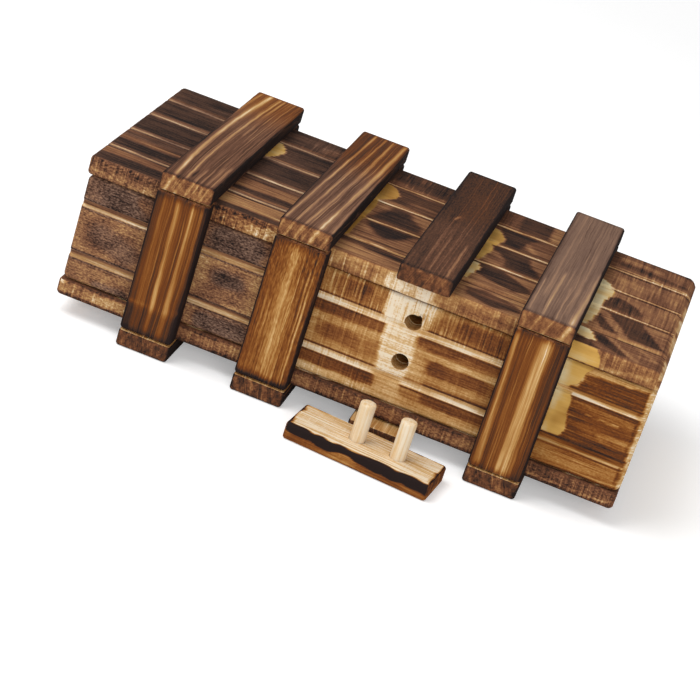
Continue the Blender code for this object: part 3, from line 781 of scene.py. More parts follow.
# The lid is grooved like the base and stands out over the walls. Its planks are burnt
# nearly black mid-bay. Glue wiped along the right of each batten kept the flame off, and
# the right end was bevelled on a sanding belt.
LID_ROOM = room_of("lid_panel", RIGHT, UP)
LID_GROOVES = [share * LID_ROOM[1][1] for share in PANEL_GROOVE_SHARES]
LID_STROKES = [
    # Left of the first batten
    (0, 69.8, 6.6, 21, 69.8, 6.6, 2.4, 0.92), (0, 53.4, 6.2, 21, 53.4, 6.2, 1.4, 0.91),
    (0, 37.4, 6.4, 21, 37.4, 6.4, 1.4, 0.95), (0, 17.4, 3.3, 21, 17.4, 3.3, 2.0, 0.94),
    (0, 24.8, 2.6, 21, 25.1, 2.6, 2.4, 0.85), (1, 22.8, 0.7, 14, 23.2, 0.9, 2.4, 0.72),
    (0, 3.8, 3.0, 21, 4.0, 3.0, 1.6, 0.93), (0, 9.2, 1.0, 21, 9.0, 1.0, 1.8, 0.64),
    (0, 0.3, 0.6, 21, 0.3, 0.6, 0.8, 0.79),
    # Between the first and the second
    (36, 69.8, 6.6, 54, 69.8, 6.6, 3.0, 0.91), (49, 66, 2.4, 53, 69, 3.0, 4.0, 0.79),
    (36, 53.4, 6.2, 54, 53.4, 6.2, 1.4, 0.93), (36, 37.4, 6.4, 54, 37.4, 6.4, 1.4, 0.94),
    (35, 53, 5.0, 38, 53, 5.0, 2.0, 0.89), (36, 26.6, 1.6, 54, 26.8, 1.6, 1.8, 0.82),
    (41, 26.4, 0.6, 48, 26.4, 0.6, 1.6, 0.92), (36, 22.2, 1.6, 54, 21.8, 1.6, 2.2, 0.64),
    (36, 20.0, 0.4, 54, 19.6, 0.4, 0.9, 0.50), (36, 16.9, 1.6, 54, 17.0, 1.8, 1.0, 0.92),
    (36, 8.0, 3.0, 54, 7.2, 3.2, 1.4, 0.50), (42, 5.4, 0.6, 54, 4.6, 0.8, 1.0, 0.38),
    (36, 1.2, 2.6, 54, 0.4, 2.4, 1.0, 0.92),
    # Between the second and the third
    (68, 69.8, 6.6, 88, 69.8, 6.6, 3.0, 0.90), (70, 64, 1.0, 76, 64, 1.0, 2.0, 0.79),
    (73, 53.4, 6.0, 88, 53.4, 6.0, 3.0, 0.90), (80, 50.5, 2.4, 87, 49.4, 3.0, 4.0, 0.76),
    (68, 37.4, 7.0, 88, 37.4, 7.0, 1.6, 0.65), (68, 21, 7.4, 88, 21, 7.4, 1.6, 0.63),
    (72, 14.9, 0.5, 88, 14.9, 0.5, 0.9, 0.86), (68, 5.7, 5.4, 88, 5.7, 5.4, 1.6, 0.58),
    (69, 10.0, 1.2, 78, 9.6, 1.4, 1.2, 0.93), (77, 9.4, 1.5, 88, 8.6, 1.5, 1.2, 0.92),
    (70, 5.8, 0.6, 88, 4.6, 0.6, 1.6, 0.63), (69, 0.4, 0.6, 88, 0.4, 0.6, 0.7, 0.79),
    # Between the third and the last
    (101, 69.8, 6.6, 107, 69.8, 6.6, 2.0, 0.78), (101, 53.4, 6.6, 121, 53.4, 6.6, 1.6, 0.76),
    (112.6, 53, 0.8, 115, 49, 0.9, 2.0, 0.54), (101, 37.4, 7.0, 121, 37.4, 7.0, 1.6, 0.61),
    (104.6, 36, 1.4, 108, 34, 1.6, 2.0, 0.76), (101, 21, 7.4, 121, 21, 7.4, 1.6, 0.58),
    (101, 5.7, 5.4, 121, 5.7, 5.4, 1.6, 0.56),
    # Right of the last
    (134, 69.8, 6.6, 160, 69.8, 6.6, 1.6, 0.74), (139, 70.6, 1.4, 149, 70.6, 1.4, 1.6, 0.56),
    (137, 75.4, 0.5, 160, 74.6, 0.5, 0.8, 0.92), (134, 53.4, 6.6, 160, 53.4, 6.6, 1.6, 0.63),
    (138, 57, 1.6, 141, 54, 2.4, 2.4, 0.56), (134, 37.4, 7.0, 160, 37.4, 7.0, 1.6, 0.62),
    (134, 21, 7.4, 160, 21, 7.4, 1.6, 0.60), (134, 5.7, 5.4, 160, 5.7, 5.4, 1.6, 0.73),
]
LID_PATCHES = [
    (0.98, 2.6, [(74.6, 44.2), (80.2, 44.2), (81, 40.2), (84.8, 36.4), (85.4, 30.6),
                 (70.8, 30.6), (71.8, 36), (73.8, 40.4)]),
    (0.98, 2.6, [(70.6, 28.4), (85.6, 28.4), (83.4, 24.6), (82.0, 21.4), (78.4, 19.2),
                 (75, 20.8), (72.4, 24.4)]),
    (0.93, 1.2, [(107.6, 76), (107.8, 62), (116.9, 62), (116.9, 76)]),
    (0.56, 0.8, [(117.2, 76), (117.2, 62), (119.6, 62), (119.6, 76)]),
    (0.94, 1.0, [(103.4, 60), (115.2, 60), (113, 56.8), (111.6, 52), (111.2, 46.6),
                 (106.0, 46.6), (106.0, 52.6), (104.0, 56.8)]),
    (0.94, 1.4, [(104.4, 44.4), (114.8, 44.4), (116.2, 39), (119.8, 33.6), (119.6, 30.8),
                 (109.2, 30.8), (109.6, 36), (106.9, 40), (104.4, 41)]),
    (0.94, 1.2, [(103.6, 27.6), (110.4, 27.6), (115.6, 24.6), (119.4, 21), (119.6, 18.4),
                 (115.2, 16.6), (108, 18.4), (103.8, 20.6)]),
    (0.88, 1.2, [(103.6, 8.8), (109.2, 10.2), (115.6, 9), (119.8, 6.2), (119.6, 3.4),
                 (112.2, 1.6), (105.2, 3.8)]),
    (0.89, 1.0, [(138, 68), (150, 67.6), (158, 66.4), (158, 64.6), (138, 65.4)]),
    (0.90, 0.8, [(138.0, 30.6), (138.8, 36.8), (140.8, 40.6), (143.7, 39.8), (147.2, 37.4),
                 (149.0, 34.2), (149.0, 30.6)]),
    (0.94, 0.8, [(138.0, 25.6), (141.3, 20.6), (145.6, 14.2), (141.3, 14.2), (138.5, 18.8)]),
    (0.92, 0.8, [(139.6, 28.4), (150.2, 28.4), (151.9, 24.4), (155.2, 18.8), (157.8, 14.8),
                 (153, 14), (148.0, 14.2), (144.8, 20.6), (141.4, 26)]),
    (0.94, 0.8, [(139.4, 10.8), (141.4, 10.8), (146.6, 6.3), (150.2, 2.2), (147.2, 1.8),
                 (141.3, 5.7), (139.8, 8.7)]),
    (0.56, 0.9, [(141.6, 11.6), (143.4, 11.6), (153.4, 1.4), (151.6, 0.8)]),
    (0.58, 0.9, [(149.4, 11.6), (151.6, 11.6), (158.4, 5.4), (158.2, 4.0)]),
    (0.91, 0.9, [(135, 4.6), (138.4, 4.2), (143.4, 0), (135, 0)]),
]
LID_SEAM_STROKES = [
    (101, 13.9, 0.9, 121, 13.7, 1.0, 1.0, 0.50), (101, 12.2, 0.35, 121, 12.2, 0.35, 0.7, 0.34),
    (136, 13.6, 0.7, 158, 13.8, 0.7, 0.8, 0.56), (137, 11.9, 0.5, 144, 12.1, 0.4, 0.8, 0.70),
    (146, 13.0, 0.5, 158, 12.6, 0.5, 0.9, 0.30), (136, 60.6, 1.1, 160, 60.0, 1.0, 0.8, 0.90),
    (137, 62.9, 0.25, 160, 62.3, 0.25, 0.5, 0.38), (69, 12.8, 0.7, 86, 12.6, 0.7, 0.7, 0.36),
    (69, 14.2, 0.6, 76, 14.2, 0.5, 0.8, 0.60),
]
LID_EDGE_STROKES = [
    (0, 3.9, 1.5, 20, 3.9, 1.5, 0.9, 0.80), (0, 1.0, 1.3, 20, 1.0, 1.3, 0.8, 0.66),
    (13, 0.9, 0.8, 19, 0.9, 0.9, 0.9, 0.46), (36, 4.7, 0.6, 52, 4.5, 0.8, 0.7, 0.88),
    (36, 2.0, 1.6, 52, 2.0, 1.6, 0.7, 0.62), (46, 1.6, 1.3, 52, 1.8, 1.6, 1.0, 0.44),
    (69, 2.6, 2.8, 88, 2.6, 2.8, 1.0, 0.40), (70, 0.9, 1.0, 79, 1.0, 0.8, 1.2, 0.60),
    (73, 3.2, 0.3, 82, 3.4, 0.3, 0.8, 0.58), (87, 2.6, 2.8, 100, 2.6, 2.8, 1.0, 0.10),
    (101, 2.6, 2.8, 121, 2.6, 2.8, 1.6, 0.44), (106, 2.4, 1.2, 120, 2.2, 1.2, 1.2, 0.62),
    (136, 2.6, 2.8, 159, 2.6, 2.8, 1.0, 0.58), (145, 1.0, 0.5, 157, 2.6, 0.5, 1.0, 0.34),
]
LID_GLUE = [
    (0.29, [(35, 60), (36.8, 60), (38.2, 57), (38.8, 53.6), (38.2, 50), (36.6, 46.8), (35, 46.6)]),
    (0.50, [(68, 61), (70, 60.4), (72.2, 58.4), (73.9, 54.6), (73.6, 51), (71.8, 48), (69.8, 46),
            (70.4, 40), (70.0, 30), (69.9, 13.4), (68, 13)]),
    (0.36, [(101, 57.6), (102.9, 57.2), (104.8, 55), (106.0, 51.6), (105.6, 46.6), (104.2, 44),
            (104.4, 40.4), (103.9, 35.4), (103.0, 31), (101, 31)]),
    (0.18, [(101, 28), (103.1, 27.8), (104.2, 24.2), (104, 20.6), (103.0, 15), (101, 15)]),
    (0.14, [(134, 50.4), (135.8, 50), (137.8, 48.2), (139.8, 43), (138.7, 37), (137.8, 30.6),
            (137.8, 24), (136.4, 14.6), (134, 14.6)]),
    (0.12, [(134, 13.4), (135.8, 13), (137.6, 11.4), (139.4, 7.7), (140.4, 5.5), (138.3, 5.0),
            (134, 6.6)]),
]
LID_SOOTY_END = 70
LID_EDGE_GLUE = [(0.38, [(134, 5.4), (141.6, 5.4), (143.4, 3.4), (143.6, 0), (134, 0)])]


def end_grain(facing):
    """1 on a board's two ends, fading out round their arrises."""
    return fade(2 * np.abs(facing[:, 0]) - 0.5)


def lid_lowered(spot):
    """The bevel sanded along the lid's right end."""
    return sanded_bevel(spot, LID_ROOM[1][0])


def paint_lid_grooves(spot, x, burn):
    """Burn of the lid with its grooves. From above a groove to below it come a rusty halo on
    black planks, a pale flank, a tan bed, a second pale flank and a dark lip; the lip and
    the dark left along the groove's edges are painted shade and soot."""
    above = nearest_groove(spot[:, 1] + 0.12 * noise(spot, (6, 40, 9), 83), LID_GROOVES)
    halo = fade((2.0 - np.abs(above - 1.2)) / 1.4) * fade((burn - 0.6) / 0.2)
    burn = lay(burn, 0.76, 0.6 * halo)
    # A dark line of painted shade and soot along the groove's front lip
    burn = lay(burn, 0.97, 0.9 * fade(1.2 - np.abs(above + 1.35) / 0.35))
    # The whole groove is first painted dark as shade; its edges keep this dark
    cut = fade((1.25 - np.abs(above)) / 0.4)
    burn = lay(burn, 0.84, 0.8 * cut)
    burn = lay(burn, 0.34, fade((0.60 - np.abs(above)) / 0.2))
    flank = fade((0.15 - np.abs(np.abs(above) - 0.80)) / 0.10)
    return lay(burn, 0.11 + 0.17 * fade((LID_SOOTY_END - x) / 10), flank), cut


def paint_lid_end(spot, y, side, burn):
    """Burn of the lid towards its right end, which was sanded: soot is left along the
    bevel's upper arris near the front, and below it flecks on bare wood."""
    to_end = LID_ROOM[1][0] - spot[:, 0]
    soot = fade(1 - np.abs(2.2 - to_end) / 0.5) * fade((45 - y) / 6)
    burn = lay(burn, 0.82, 0.8 * soot * (1 - side))
    ragged = to_end - 0.4 * noise(spot, 1.5, 85)
    sanded = fade((SANDED_BARE - ragged) / 0.5) * fade((57 - y) / 5)
    return lay(burn, 0.26 + 0.4 * fade(2 * noise(spot, (1.2, 4, 3), 87) - 0.1), sanded)


def paint_lid(spot, facing):
    """Scorching of the lid's planks, its edges, its wiped glue and its sanded end."""
    size = LID_ROOM[1]
    x, y, z = wander(spot, 81, 2.0, 0.35)
    burn = brush(x, y, LID_STROKES, np.full(len(x), 0.60))
    burn = fill(x, y, LID_PATCHES, burn)
    burn, cut = paint_lid_grooves(spot, x, burn)
    burn = brush(x, y, LID_SEAM_STROKES, burn)
    rim = brush(x, z, LID_EDGE_STROKES, np.full(len(x), 0.60))
    rim = np.where(facing[:, 1] < 0, rim, PLAIN_EDGE)
    side = fade(1.5 * np.abs(facing[:, 1]))
    burn = lay(burn, rim, side)
    burn = lay(burn, 0.76, end_grain(facing) * (spot[:, 0] < size[0] / 2))
    burn = paint_lid_end(spot, y, side, burn)
    burn = inside_case(x, y, size, facing, burn)

    wet_x, wet_y, wet_z = wander(spot, 89, 5.0, 0.5)
    top_glue, top_tone = pools(wet_x, wet_y, LID_GLUE)
    rim_glue, rim_tone = pools(wet_x, wet_z, LID_EDGE_GLUE)
    rim_glue = rim_glue * (facing[:, 1] < 0)
    glue = np.where(side > 0.5, rim_glue, top_glue) * (facing[:, 2] > -0.5)
    burn = np.where(glue > 0.3, np.where(side > 0.5, rim_tone, top_tone), burn)
    worked = fade((x - BRUSHED_BAYS[1]) / 3) * (0.45 + 0.45 * fade((y - 27) / 4))
    back_plank = fade((y - 62) / 1) * fade((x - 40) / 3) * fade((110 - x) / 6)
    scratch = lay(np.clip(worked + 0.7 * back_plank, 0, 1), 1, side)
    speckle = 0.25 + side * (0.4 + 0.7 * fade((SOOTY_BAYS_END - x) / 6))
    ashen = np.maximum(0.3 * fade((burn - 0.7) / 0.2), 0.5 * cut)
    grey = 0.45 - side * 0.15 * fade((x - 20) / 4)
    grey = grey + ashen * fade((LID_SOOTY_END - x) / 10) * (1 - side)
    return coat(spot, burn, glue=glue, scratch=scratch, speckle=speckle, grey=grey)


lid = board("pine_lid", LID_ROOM, RIGHT, UP, paint_lid, (0.8, 0.45, 0.8),
            grooves=LID_GROOVES, lower=lid_lowered, seed=8)
dress(lid, BOARD_WOOD, "case", "lid_panel")


# Four hoops of flat battens are glued round the case: one under the base, one up the back,
# one over the lid and one up the front, with the cross ones lapping the upright ones'
# ends. Brushing after the flame left the hard rings standing as pale streaks.
BATTEN_CORNER = 0.9
BATTEN_EDGE = 0.7
GRAIN_STRETCH = 0.5
BATTEN_SIDES = 0.93
BATTEN_BACK = 0.35
PLAIN_STREAKS = [(0.16, 0.20, 0.24, 0.035, 0.5, 0, 1), (0.45, 0.42, 0.40, 0.03, 0.4, 0, 1),
                 (0.72, 0.75, 0.80, 0.045, 0.5, 0, 1)]
TOP_STREAKS = {
    1: [(0.235, 0.150, 0.320, 0.038, 1.55, 0, 1), (0.425, 0.385, 0.520, 0.026, 1.30, 0, 1),
        (-0.08, -0.04, 0.125, 0.026, 0.80, 0, 1), (0.60, 0.53, 0.60, 0.02, 0.70, 0.55, 1),
        (0.60, 0.60, 0.60, 0.018, 0.80, 0, 0.14), (0.70, 0.70, 0.70, 0.018, 0.80, 0, 0.17),
        (0.81, 0.81, 0.81, 0.020, 0.80, 0, 0.20), (0.90, 0.91, 0.92, 0.018, 0.80, 0, 0.22)],
    2: [(0.075, 0.180, 0.300, 0.024, 1.20, 0, 1), (0.265, 0.385, 0.510, 0.022, 1.05, 0, 1),
        (0.440, 0.590, 0.670, 0.024, 1.20, 0, 1), (0.710, 0.830, 0.925, 0.040, 1.50, 0, 1),
        (0.935, 0.965, 1.02, 0.028, 0.80, 0, 1)],
    3: [(0.825, 0.825, 0.83, 0.018, 1.15, 0.03, 0.32), (0.49, 0.49, 0.49, 0.018, 0.5, 0.05, 0.35),
        (0.340, 0.345, 0.350, 0.018, 0.30, 0.1, 0.5), (0.010, 0.015, 0.02, 0.02, 0.81, 0.04, 0.2)],
    4: [(0.880, 0.990, 1.05, 0.050, 1.00, 0, 0.5), (0.350, 0.380, 0.42, 0.022, 0.85, 0, 0.4),
        (0.095, 0.110, 0.13, 0.018, 0.80, 0.04, 0.3), (0.590, 0.600, 0.62, 0.018, 0.50, 0, 0.3),
        (0.720, 0.740, 0.75, 0.03, 0.3, 0.1, 1), (0.200, 0.220, 0.23, 0.03, 0.27, 0.2, 1)],
}
FRONT_STREAKS = {
    1: [(0.215, 0.205, 0.210, 0.060, 0.40, 0, 1), (0.480, 0.470, 0.435, 0.042, 1.20, 0, 1),
        (0.735, 0.735, 0.720, 0.052, 0.92, 0, 1), (0.900, 0.895, 0.890, 0.028, 0.50, 0, 1)],
    2: [(0.485, 0.470, 0.470, 0.085, 0.70, 0, 1), (0.175, 0.180, 0.185, 0.018, 0.6, 0, 0.62),
        (0.245, 0.250, 0.250, 0.018, 0.6, 0, 0.55), (0.310, 0.315, 0.315, 0.016, 0.5, 0, 0.5),
        (0.600, 0.600, 0.600, 0.018, 0.6, 0, 0.7), (0.665, 0.665, 0.665, 0.016, 0.5, 0, 0.6),
        (0.735, 0.735, 0.735, 0.016, 0.5, 0, 0.55), (0.800, 0.805, 0.800, 0.018, 0.7, 0, 0.85),
        (0.865, 0.865, 0.865, 0.018, 0.6, 0, 0.7), (0.925, 0.925, 0.925, 0.016, 0.4, 0, 0.5)],
    4: [(0.165, 0.120, 0.060, 0.055, 0.85, 0, 1), (0.530, 0.550, 0.575, 0.062, 0.90, 0, 1),
        (0.640, 0.650, 0.665, 0.055, 0.82, 0, 1), (0.760, 0.760, 0.760, 0.018, 0.5, 0, 0.5),
        (0.840, 0.840, 0.840, 0.018, 0.4, 0, 0.4)],
}


def bend(along, start, middle, end):
    """A parabola through three values, at the start, the middle and the end of a batten."""
    return (start * (1 - along) * (1 - 2 * along) + 4 * middle * along * (1 - along)
            + end * along * (2 * along - 1))


def streaks(along, across, lines):
    """Pale streaks along a batten. Each is (start, middle, end, width, strength, from, to):
    it bends through three places given as shares of the batten's width, is bell shaped
    across, and is present between two shares of its length."""
    total = np.zeros(len(along))
    for start, middle, end, width, strength, first, last in lines:
        bell = np.exp(-((across - bend(along, start, middle, end)) / width) ** 2)
        present = fade((along - first) / 0.05 + 1) * fade((last - along) / 0.06 + 0.5)
        total = np.maximum(total, strength * bell * present)
    return total


def batten_paint(room, lines, body_burn, ends_burn, grey, seed, mirrored, detail):
    """Paint for one batten: streaks in the body's burn, soot on the sides, rusty ends.
    Rings lean over as they go through, so that the streaks slant across the end grain.
    detail(layers, x, across, facing) adds what only this batten has."""
    length, width, thick = room[1]
    course = np.average([line[:3] for line in lines], axis=0,
                        weights=[last - first for *_, first, last in lines])

    def paint(spot, facing):
        x, y, z = wander(spot, seed, 3.0, 0.12)
        across = (width - y if mirrored else y) / width
        along = x / length
        lean = 0.35 * (thick - z) / width
        pale = streaks(along, across + lean, lines)
        pale = pale * (0.8 + 0.35 * noise(spot, (11, 2, 2), seed + 3))
        drift = (bend(along, *course) - course[1]) * width
        rings = (across + lean) * width - drift + 0.4 * noise(spot, (26, 5, 5), seed + 4)
        side = fade(2.2 * np.abs(facing[:, 1]) - 0.6)
        end = end_grain(facing)
        burn = lay(np.full(len(x), body_burn), BATTEN_SIDES, side)
        burn = lay(burn, ends_burn + 0.16 * noise(spot, (3, 0.7, 1.6), seed + 5), end)
        burn = burn + 0.9 * arris(facing) * (0.5 + 0.5 * noise(spot, 3, seed + 6))
        brow = fade((2.4 - np.minimum(x, length - x)) / 2.0) * (1 - end)
        rim = fade((1.3 - np.minimum(y, width - y)) / 0.9) * (1 - end)
        burn = burn + 0.12 * brow + 0.13 * rim * (0.8 + 0.6 * noise(spot, (7, 3, 3), seed + 7))
        pale = pale * (1 - side) * (1 - 0.35 * end) * (1 - 0.7 * brow)
        layers = coat(spot, burn, pale=pale, speckle=0.10 + 0.12 * end, rings=rings,
                      grey=lay(grey, 0.3, end))
        run = GRAIN_STRETCH * (1 - end) + end
        layers["grain"] = np.column_stack([spot[:, 0] * run, across * width - drift, spot[:, 2]])
        if detail is not None:
            detail(layers, x, across * width, facing)
        layers["burn"] = np.where(facing[:, 2] < INWARD, BATTEN_BACK, layers["burn"])
        return layers
    return paint


def batten(name, node, along, out, material, lines, burn, ends, grey, seed,
           mirrored=True, detail=None, step=(1.0, 0.32, 0.6)):
    """A batten glued to the case in place of its node, grained along it, with its outer
    face out. burn and ends are the levels of its face and of its end grain."""
    room = room_of(node, along, out)
    paint = batten_paint(room, lines, burn, ends, grey, seed, mirrored, detail)
    piece = board(name, room, along, out, paint, step, corner=BATTEN_CORNER,
                  edge=BATTEN_EDGE, wear=0.09, seed=seed)
    dress(piece, material, "case", node)


def first_top(layers, x, across, facing):
    """Rusty brown towards the back, and a short dark crack near the front."""
    far = fade((x - 50) / 28)
    burn = lay(layers["burn"], 0.64, 0.8 * far * (facing[:, 2] > 0.5))
    crack = fade(1.4 - np.hypot((x - 6.5) / 3.2, (across - 7.2) / 0.35))
    layers["burn"] = lay(burn, 0.98, crack)
    # Less of the painted grey sheen towards the back
    layers["grey"] = layers["grey"] * (1 - 0.85 * far)


def second_top(layers, x, across, facing):
    """Darker and rustier towards the back."""
    far = fade((x - 38) / 28)
    layers["burn"] = lay(layers["burn"], 0.82, far * (facing[:, 2] > 0.5))
    # Less of the painted grey sheen towards the back
    layers["grey"] = layers["grey"] * (1 - 0.85 * far)


def third_top(layers, x, across, facing):
    """Darker towards the back, where the flame went twice, with one small scuff."""
    far = fade((x - 34) / 20)
    layers["burn"] = layers["burn"] + 0.08 * far
    # Less of the painted grey sheen towards the back
    layers["grey"] = layers["grey"] * (1 - 0.6 * far)
    layers["speckle"] = layers["speckle"] + 0.25 * (facing[:, 2] > 0.3)
    scuff = fade(1.3 - np.hypot((x - 45) / 2.4, (across - 5.4 - 0.25 * (x - 45)) / 0.5))
    layers["pale"] = np.maximum(layers["pale"], 0.9 * scuff)


def first_front(layers, x, across, facing):
    """Sooty down both sides, and darker below a tide line near its foot."""
    face = facing[:, 2] > 0.3
    edges = 0.09 * fade((3.6 - across) / 2.2) + 0.12 * fade((across - 12.6) / 1.4)
    layers["burn"] = layers["burn"] + (edges + 0.11 * fade((8.4 - x) / 1.0)) * face
    tide = fade(1 - np.abs(x - 8.6 - 0.07 * across) / 0.3) * face
    layers["pale"] = np.maximum(layers["pale"] * (1 - 0.35 * fade((9 - x) / 3)), 0.35 * tide)


def second_front(layers, x, across, facing):
    """Evenly rusty, brushed into fine lines lower down, and black at the foot."""
    face = facing[:, 2] > 0.3
    layers["burn"] = layers["burn"] + (0.35 * fade((2.6 - x) / 2.0) - 0.05) * face
    layers["speckle"] = layers["speckle"] + (0.40 + 0.35 * fade((x - 24) / 12)) * face


def fourth_front(layers, x, across, facing):
    """Dark down its right side, and browner between its two pale streaks."""
    shade = 0.10 * fade((across - 10.4) / 1.4) + 0.07 * fade(1.8 - np.abs(across - 4.8) / 1.8)
    shade = shade - 0.06 * fade(1.8 - np.abs(across - 7.4) / 2.2)
    layers["burn"] = layers["burn"] + shade * (facing[:, 2] > 0.3)


BATTEN_WOOD = wood_finish("scorched_batten", fibre=0.80, lines=1.0, clouds=0.22)
CROSS_WOOD = wood_finish("cross_batten", fibre=0.60, lines=1.0, clouds=0.22)
ASHEN_WOOD = wood_finish("ashen_batten", fibre=0.40, lines=0.6, clouds=0.22)

for number in (1, 2, 3, 4):
    batten(f"batten_under_{number}", f"bottom_batten_{number}", BACK, DOWN, BATTEN_WOOD,
           PLAIN_STREAKS, 0.70, 0.82, 0.1, 20 + number,
           mirrored=False, step=(1.4, 0.5, 0.7))
    batten(f"batten_behind_{number}", f"back_batten_{number}", UP, BACK, BATTEN_WOOD,
           PLAIN_STREAKS, 0.80, 0.8, 0.5, 30 + number,
           mirrored=False, step=(1.2, 0.45, 0.7))

# For each top batten: wood, slot, burn, burn of its ends, greyness of soot and painted
# sheen, and own detail
TOP_LOOKS = {
    1: (CROSS_WOOD, "scorched_battens", 0.78, 0.60, 0.6, first_top),
    2: (CROSS_WOOD, "scorched_battens", 0.77, 0.66, 0.7, second_top),
    3: (ASHEN_WOOD, "charred_battens", 0.82, 0.74, 0.55, third_top),
    4: (ASHEN_WOOD, "charred_battens", 0.68, 0.60, 1.0, None),
}
for number, (wood, slot, burn, ends, grey, detail) in TOP_LOOKS.items():
    batten(f"batten_over_{number}", f"top_batten_{number}", BACK, UP, wood,
           TOP_STREAKS[number], burn, ends, grey, 40 + number, detail=detail)

FRONT_LOOKS = {1: (0.75, first_front), 2: (0.70, second_front), 4: (0.67, fourth_front)}
for number, (burn, detail) in FRONT_LOOKS.items():
    batten(f"batten_front_{number}", f"front_batten_{number}", UP, FRONT, BATTEN_WOOD,
           FRONT_STREAKS[number], burn, 0.7, 0.0, 50 + number,
           detail=detail)


# Each drawer is a bare pine tray of five boards glued edge to edge. Its end board passes
# for part of the case, and its front side is drilled for one of the key's pegs.
TRAY_BOARDS = (("floor", RIGHT, UP), ("front_side", RIGHT, FRONT), ("back_side", RIGHT, BACK))
DRAWERS = (
    ("upper_drawer", RIGHT, paint_sanded_end, BARE_WOOD, "sanded_ends", PEG_LEVELS[0]),
    ("lower_drawer", LEFT, paint_scorched_end, BOARD_WOOD, "scorched_boards", PEG_LEVELS[1]),
)
for prefix, way, end_paint, end_wood, end_slot, level in DRAWERS:
    for count, (part, along, out) in enumerate(TRAY_BOARDS):
        node = f"{prefix}_{part}"
        low, high = (np.array(corner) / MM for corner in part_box(node))
        drilled = [(KEY_HOOP - low[0], level - low[2], HOLE_RADIUS, high[1] - low[1])]
        plain_board(node, prefix, along, out, paint_bare, BARE_WOOD, 60 + count,
                    holes=drilled if part == "front_side" else ())
    plain_board(f"{prefix}_rear", prefix, BACK, RIGHT, paint_bare, BARE_WOOD, 65)
    plain_board(f"{prefix}_end", prefix, way[0] * BACK, way, end_paint, end_wood, 66)


# The key is the third hoop's front batten with two birch dowels glued in. It lies on its
# outer face. Its inner face stayed bare, because it was against the case when the flame
# came, and the soot stops along a ragged line on its sides.
PEG_RADIUS = 2.15
PEG_SEAT = 3.0
PEG_TIP = 0.5
PEG_POINTS = 78
PEG_RIBS = 13
SOCKET_GAP = 0.15
SOOT_SHORE = 2.3
STRAP_SIZE = room_of("front_batten_1", UP, FRONT)[1]
PEG_MIDDLES = {node: node_room(node)[0] for node in ("key_peg_upper", "key_peg_lower")}
peg_run = PEG_MIDDLES["key_peg_upper"] - PEG_MIDDLES["key_peg_lower"]
KEY_WAY = peg_run * (1, 1, 0) / np.hypot(*peg_run[:2])
STRAP_MIDDLE = node_room("key_batten")[0]
SOCKETS = [(STRAP_SIZE[0] / 2 + (middle - STRAP_MIDDLE) @ KEY_WAY, STRAP_SIZE[1] / 2,
            PEG_RADIUS + SOCKET_GAP, PEG_SEAT) for middle in PEG_MIDDLES.values()]


def paint_key(spot, facing):
    """Cream inside with sooty rims, black along the upper sides, rusty outside."""
    x, y, z = wander(spot, 91, 2.6, 0.5)
    inset = np.minimum.reduce([x, STRAP_SIZE[0] - x, y, STRAP_SIZE[1] - y])
    inner = 0.05 + 1.15 * fade((1.0 - inset + 0.7 * noise(spot, 4, 95)) / 0.8)
    shore = SOOT_SHORE + 0.8 * noise(spot, (6, 40, 40), 97)
    side = 0.65 + 0.70 * fade((z - shore) / 0.5) + 0.12 * noise(spot, (9, 1.4, 1.4), 98)
    side = lay(side, 0.60 + 0.25 * noise(spot, 2.2, 99), 0.75 * end_grain(facing))
    burn = np.where(facing[:, 2] > 0.75, inner, side)
    burn = np.where(facing[:, 2] < -0.5, 0.66, burn)
    burn = np.where(arris(facing) > 0.95, 0.1, burn)
    return coat(spot, burn, scratch=0.1, speckle=0.15)


strap = board("key_strap", (STRAP_MIDDLE, STRAP_SIZE), KEY_WAY, UP, paint_key,
              (0.8, 0.4, 0.35), corner=BATTEN_CORNER, edge=BATTEN_EDGE, holes=SOCKETS,
              wear=0.11, seed=90)
dress(strap, BATTEN_WOOD, "key", "key_batten")


def turned_dowel(name, node, seed):
    """A dowel turned from a profile of (radius, level) rings, fluted along its length by
    the ribs of the drawing die. Each end closes on a single point."""
    low, high = (np.array(corner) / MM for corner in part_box(node))
    shank = np.linspace(low[2] + 0.3, high[2] - PEG_TIP, 24)
    levels = np.concatenate([[low[2]], shank, [high[2] - 0.3 * PEG_TIP, high[2]]])
    radii = np.full(len(levels), PEG_RADIUS)
    radii[[0, -2, -1]] -= np.array([0.2, 0.32 * PEG_TIP, 0.9 * PEG_TIP])
    count = PEG_POINTS
    turns = np.linspace(0, 2 * math.pi, count, endpoint=False)
    ribs = 1 - 0.010 * (1 + np.cos(PEG_RIBS * turns))
    ring = np.stack([np.cos(turns) * ribs, np.sin(turns) * ribs], axis=1)
    middle = (low + high) / 2
    rings = np.concatenate([middle[:2] + radii[:, None, None] * ring,
                            np.broadcast_to(levels[:, None, None], (len(levels), count, 1))],
                           axis=2).reshape(-1, 3)
    points = np.concatenate([rings, [[*middle[:2], low[2]], [*middle[:2], high[2]]]])
    here, beside = np.arange(count), (np.arange(count) + 1) % count
    row = count * np.arange(len(levels) - 1)[:, None]
    walls = np.stack([row + here, row + beside, row + count + beside, row + count + here],
                     axis=2).reshape(-1, 4)
    top = count * (len(levels) - 1)
    foot = np.stack([np.full(count, len(rings)), beside, here], axis=1)
    crown = np.stack([np.full(count, len(rings) + 1), top + here, top + beside], axis=1)
    spot = (points - [*middle[:2], low[2]])[:, [2, 0, 1]]
    burn = 0.04 + 0.03 * noise(spot, (8, 1, 1), seed)
    layers = coat(spot, burn, speckle=0.04)
    layers["grain"] = spot + seed
    return make_piece(name, points, walls.tolist() + foot.tolist() + crown.tolist(), layers)


DOWEL_WOOD = wood_finish("birch_dowel", fibre=0.18, lines=0.15, clouds=0.10, relief=0.05)
for count, node in enumerate(PEG_MIDDLES):
    dress(turned_dowel("dowel_" + node, node, 101 + count), DOWEL_WOOD, "key", node)


